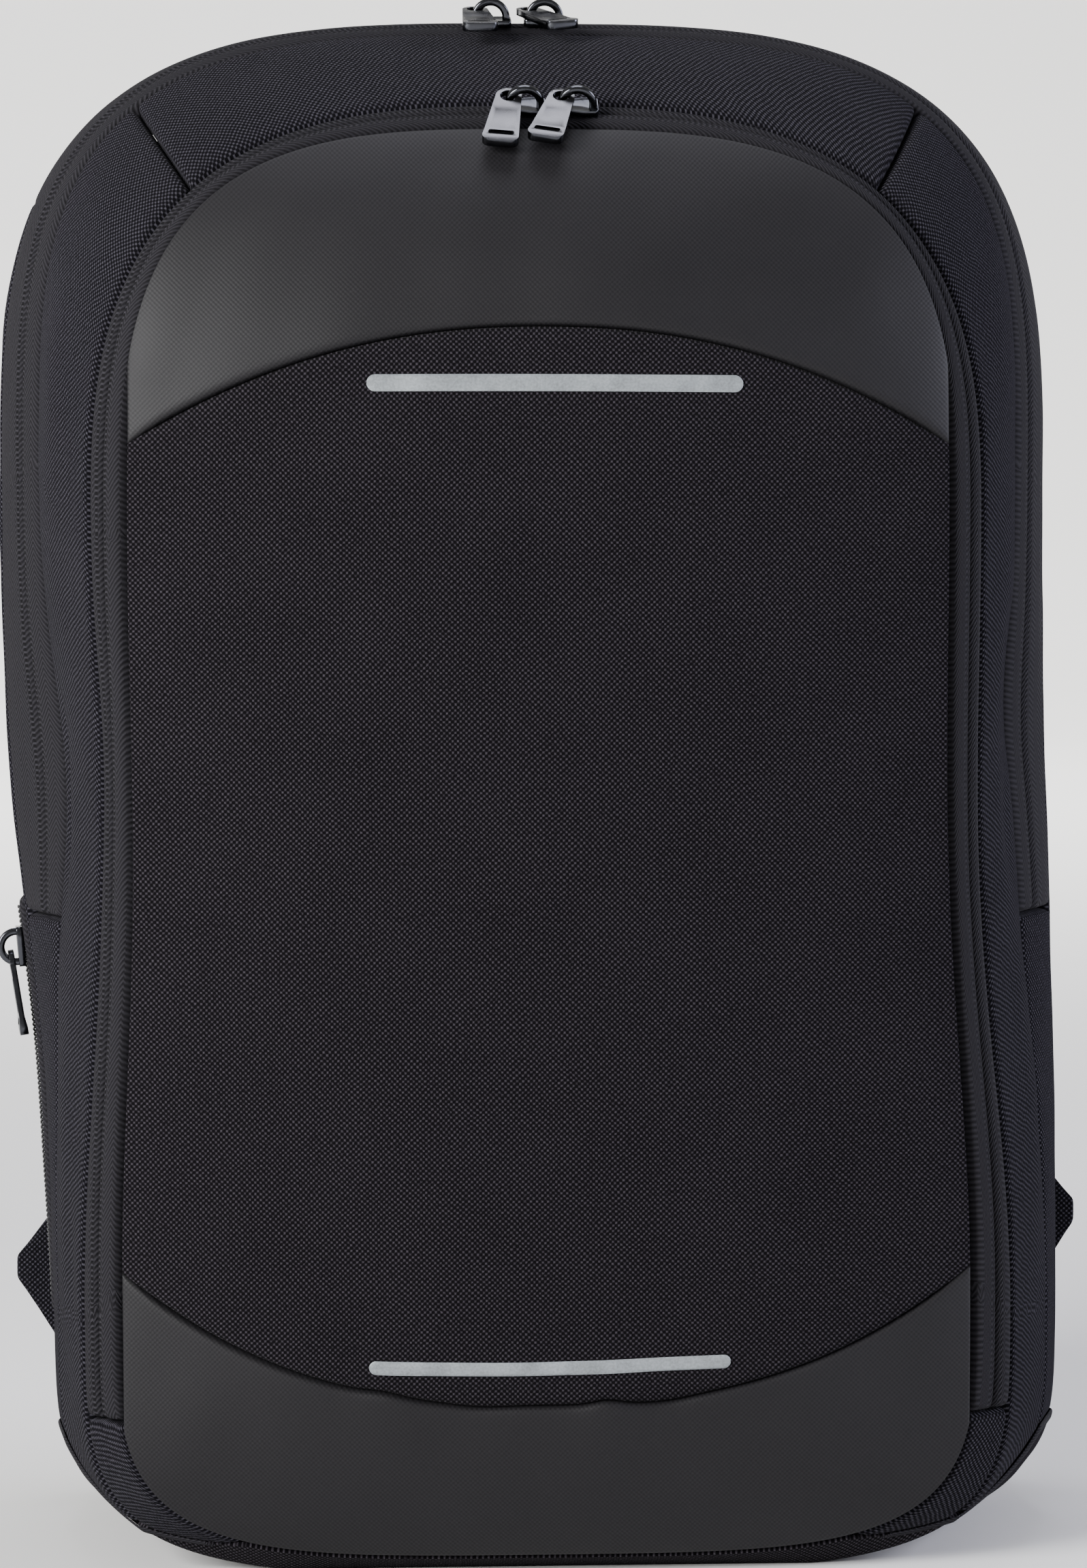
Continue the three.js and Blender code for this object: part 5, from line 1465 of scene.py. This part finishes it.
class BACKPACK_OT_webbing(bpy.types.Operator):
    """Makes the flat webbing below the straps, the haul handle and the stitched wings."""
    bl_idname = "backpack.webbing"
    bl_label = "Webbing"

    def execute(self, context):
        for side in (-1, 1):
            self.webbing(side)
            self.wing(side)
        self.handle()
        return {"FINISHED"}

    def webbing(self, side):
        """The webbing from a buckle down to a wing, narrowed and turned where it is sewn to the wing."""
        end, fall, across, inward = strap_end(side)
        end = end + fall * (BUCKLE_HEIGHT / 2 + GAP + BUCKLE_SLOT_AT)
        end = end + inward * (BUCKLE_THICK / 2 + GAP + WEBBING_THICK / 2)
        start = wing_root(side) + (side * 9, WING_THICK / 2 + 2 * GAP + WEBBING_THICK / 2, 0)
        middle = lerp(start, end, 0.5) + (side * 4, 1, 0)
        points = [start, start + (-side * 3, 3, 6), middle, end + fall * 14, end]
        low = np.array((0.75, 0, side * 0.66))
        self.band("strap_webbing_" + SIDE_NAME[side], points, 90,
                  lambda part: lerp(WEBBING_SEWN, WEBBING_WIDTH, smooth(part * 2)),
                  lambda part: lerp(low, across, smooth(part * 1.2)), WEBBING_THICK, "hung")

    def handle(self):
        """The haul handle, sewn flat to the back at both ends."""
        def on_back(x, lift):
            return (x, back_surface(x, HANDLE_HEIGHT) + GAP + HANDLE_THICK / 2 + lift, HANDLE_HEIGHT)

        points = [on_back(-x, lift) for x, lift in HANDLE_LINE]
        points += [on_back(x, lift) for x, lift in HANDLE_LINE[-2::-1]]
        sewn_at = HANDLE_LINE[0][0]
        low, high = (back_surface(sewn_at, HANDLE_HEIGHT + end * HANDLE_WIDTH / 2) for end in (-1, 1))
        upright = unit(np.array((0, (high - low) / HANDLE_WIDTH, 1)))
        self.band("haul_handle", points, 120, lambda part: np.full_like(part, HANDLE_WIDTH),
                  lambda part: upright, HANDLE_THICK, "stretched")

    def band(self, node, points, count, width, side, thick, held):
        """A flat band with soft edges along a route."""
        def half_thick(place, part):
            return thick / 2 * (1 - 0.6 * np.abs(place) ** 14) + 0 * part

        places = np.concatenate([[-1, -0.97, -0.92], np.linspace(-0.85, 0.85, 13), [0.92, 0.97, 1]])
        front, back, cloth = band_grids(points, count, width, side, half_thick, places)
        band = sheet_object(node + "_band", front, back, cloth)
        dress(band, "webbing", node)
        declare_sheet(front)

    def wing(self, side):
        """A stitched triangular tab of folded cloth."""
        root = wing_root(side)
        places = np.linspace(-1, 1, 41)
        heights = np.where(places > 0, places * WING_UP, places * WING_DOWN)
        # The root follows the gusset just beside its rear seam.
        stations = [side * station_at(GUSSET, root[2] + z) for z in heights]
        inner = side * (strip_points(GUSSET, stations, 0.93)[:, 0] - root[0]) + GAP + 0.5
        part = np.concatenate([[0, 0.02, 0.05], np.linspace(0.1, 0.9, 17), [0.95, 0.98, 1]])
        tip = WING_REACH - WING_ROUND * np.abs(places) ** 5
        out = lerp(inner[:, None], tip[:, None], part[None])
        up = lerp(heights[:, None], places[:, None] * WING_TIP, part[None])
        edge = np.minimum(1 - np.abs(places)[:, None] ** 20, 1 - part[None] ** 24)
        # The stitch lines lie a little inside the edges.
        stitched = hill(np.abs(places)[:, None] - 0.86, 0.035) + hill(part[None] - 0.88, 0.03)
        half = WING_THICK / 2 * (0.35 + 0.65 * np.clip(edge, 0, 1) ** 0.5 - 0.22 * np.clip(stitched, 0, 1))
        grids = [np.stack([root[0] + side * out, root[1] + face * half, root[2] + up], axis=-1)
                 for face in (-1, 1)]
        name = "strap_wing_" + SIDE_NAME[side]
        wing = sheet_object(name + "_cloth", *grids, np.stack([out, up], axis=-1))
        dress(wing, "webbing", name, look="band_nylon")
        declare_sheet(grids[0])


class BACKPACK_OT_buckles(bpy.types.Operator):
    """Makes the two ladder buckles."""
    bl_idname = "backpack.buckles"
    bl_label = "Ladder buckles"

    def execute(self, context):
        model = model_buckle()
        for side in (-1, 1):
            end, fall, across, inward = strap_end(side)
            frame_at = placed(end + fall * (BUCKLE_HEIGHT / 2 + GAP), across, inward)
            name = "ladder_buckle_" + SIDE_NAME[side]
            dress(placed_copy(model, name + "_moulding", frame_at), "buckle_plastic", name)
        bpy.data.objects.remove(model, do_unlink=True)
        return {"FINISHED"}


class BACKPACK_OT_zip_metal(bpy.types.Operator):
    """Makes the sliders and the pulls of all zips."""
    bl_idname = "backpack.zip_metal"
    bl_label = "Zip sliders and pulls"

    def execute(self, context):
        slider_model, pull_model = model_slider(), model_pull()
        # The pull is one plating: its edges are polished and painted darker, a painted shade, and its two
        # faces are satin and painted lighter, a painted reflection of the bright light above.
        polished_shaded_edges = [int(abs(face.normal.z) < 0.6) for face in pull_model.data.polygons]
        for slider, pull, body, slider_at, pull_at in zip_frames():
            dress(placed_copy(slider_model, slider + "_metal", slider_at), "black_nickel", slider)
            piece = dress(placed_copy(pull_model, pull + "_metal", pull_at), "black_nickel", pull,
                          look="satin_nickel", body=body)
            piece.data.materials.append(finish("black_nickel"))
            piece.data.polygons.foreach_set("material_index", polished_shaded_edges)
        for model in (slider_model, pull_model):
            bpy.data.objects.remove(model, do_unlink=True)
        return {"FINISHED"}


class BACKPACK_PT_pieces(bpy.types.Panel):
    """Lists the pieces of the backpack."""
    bl_label = "Backpack"
    bl_space_type = "VIEW_3D"
    bl_region_type = "UI"
    bl_category = "Backpack"

    def draw(self, context):
        for kind in CLASSES:
            if issubclass(kind, bpy.types.Operator):
                self.layout.operator(kind.bl_idname, text=kind.bl_label)
        for group in (context.scene.backpack_sizes, context.scene.backpack_colours):
            for name in group.__annotations__:
                self.layout.prop(group, name)


CLASSES = (
    BackpackSizes, BackpackColours, BACKPACK_OT_stage, BACKPACK_OT_reflective_strips, BACKPACK_OT_front_panel,
    BACKPACK_OT_zip_tapes, BACKPACK_OT_bands, BACKPACK_OT_lower_cloth, BACKPACK_OT_gussets, BACKPACK_OT_base,
    BACKPACK_OT_side_zip, BACKPACK_OT_back_panel, BACKPACK_OT_straps, BACKPACK_OT_webbing,
    BACKPACK_OT_buckles, BACKPACK_OT_zip_metal, BACKPACK_PT_pieces,
)


def register():
    for kind in CLASSES:
        bpy.utils.register_class(kind)
    bpy.types.Scene.backpack_sizes = PointerProperty(type=BackpackSizes)
    bpy.types.Scene.backpack_colours = PointerProperty(type=BackpackColours)


def unregister():
    del bpy.types.Scene.backpack_colours
    del bpy.types.Scene.backpack_sizes
    for kind in reversed(CLASSES):
        bpy.utils.unregister_class(kind)


def main():
    register()
    for kind in CLASSES:
        if issubclass(kind, bpy.types.Operator):
            getattr(bpy.ops.backpack, kind.bl_idname.split(".")[1])()
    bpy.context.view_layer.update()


if __name__ == "__main__":
    main()
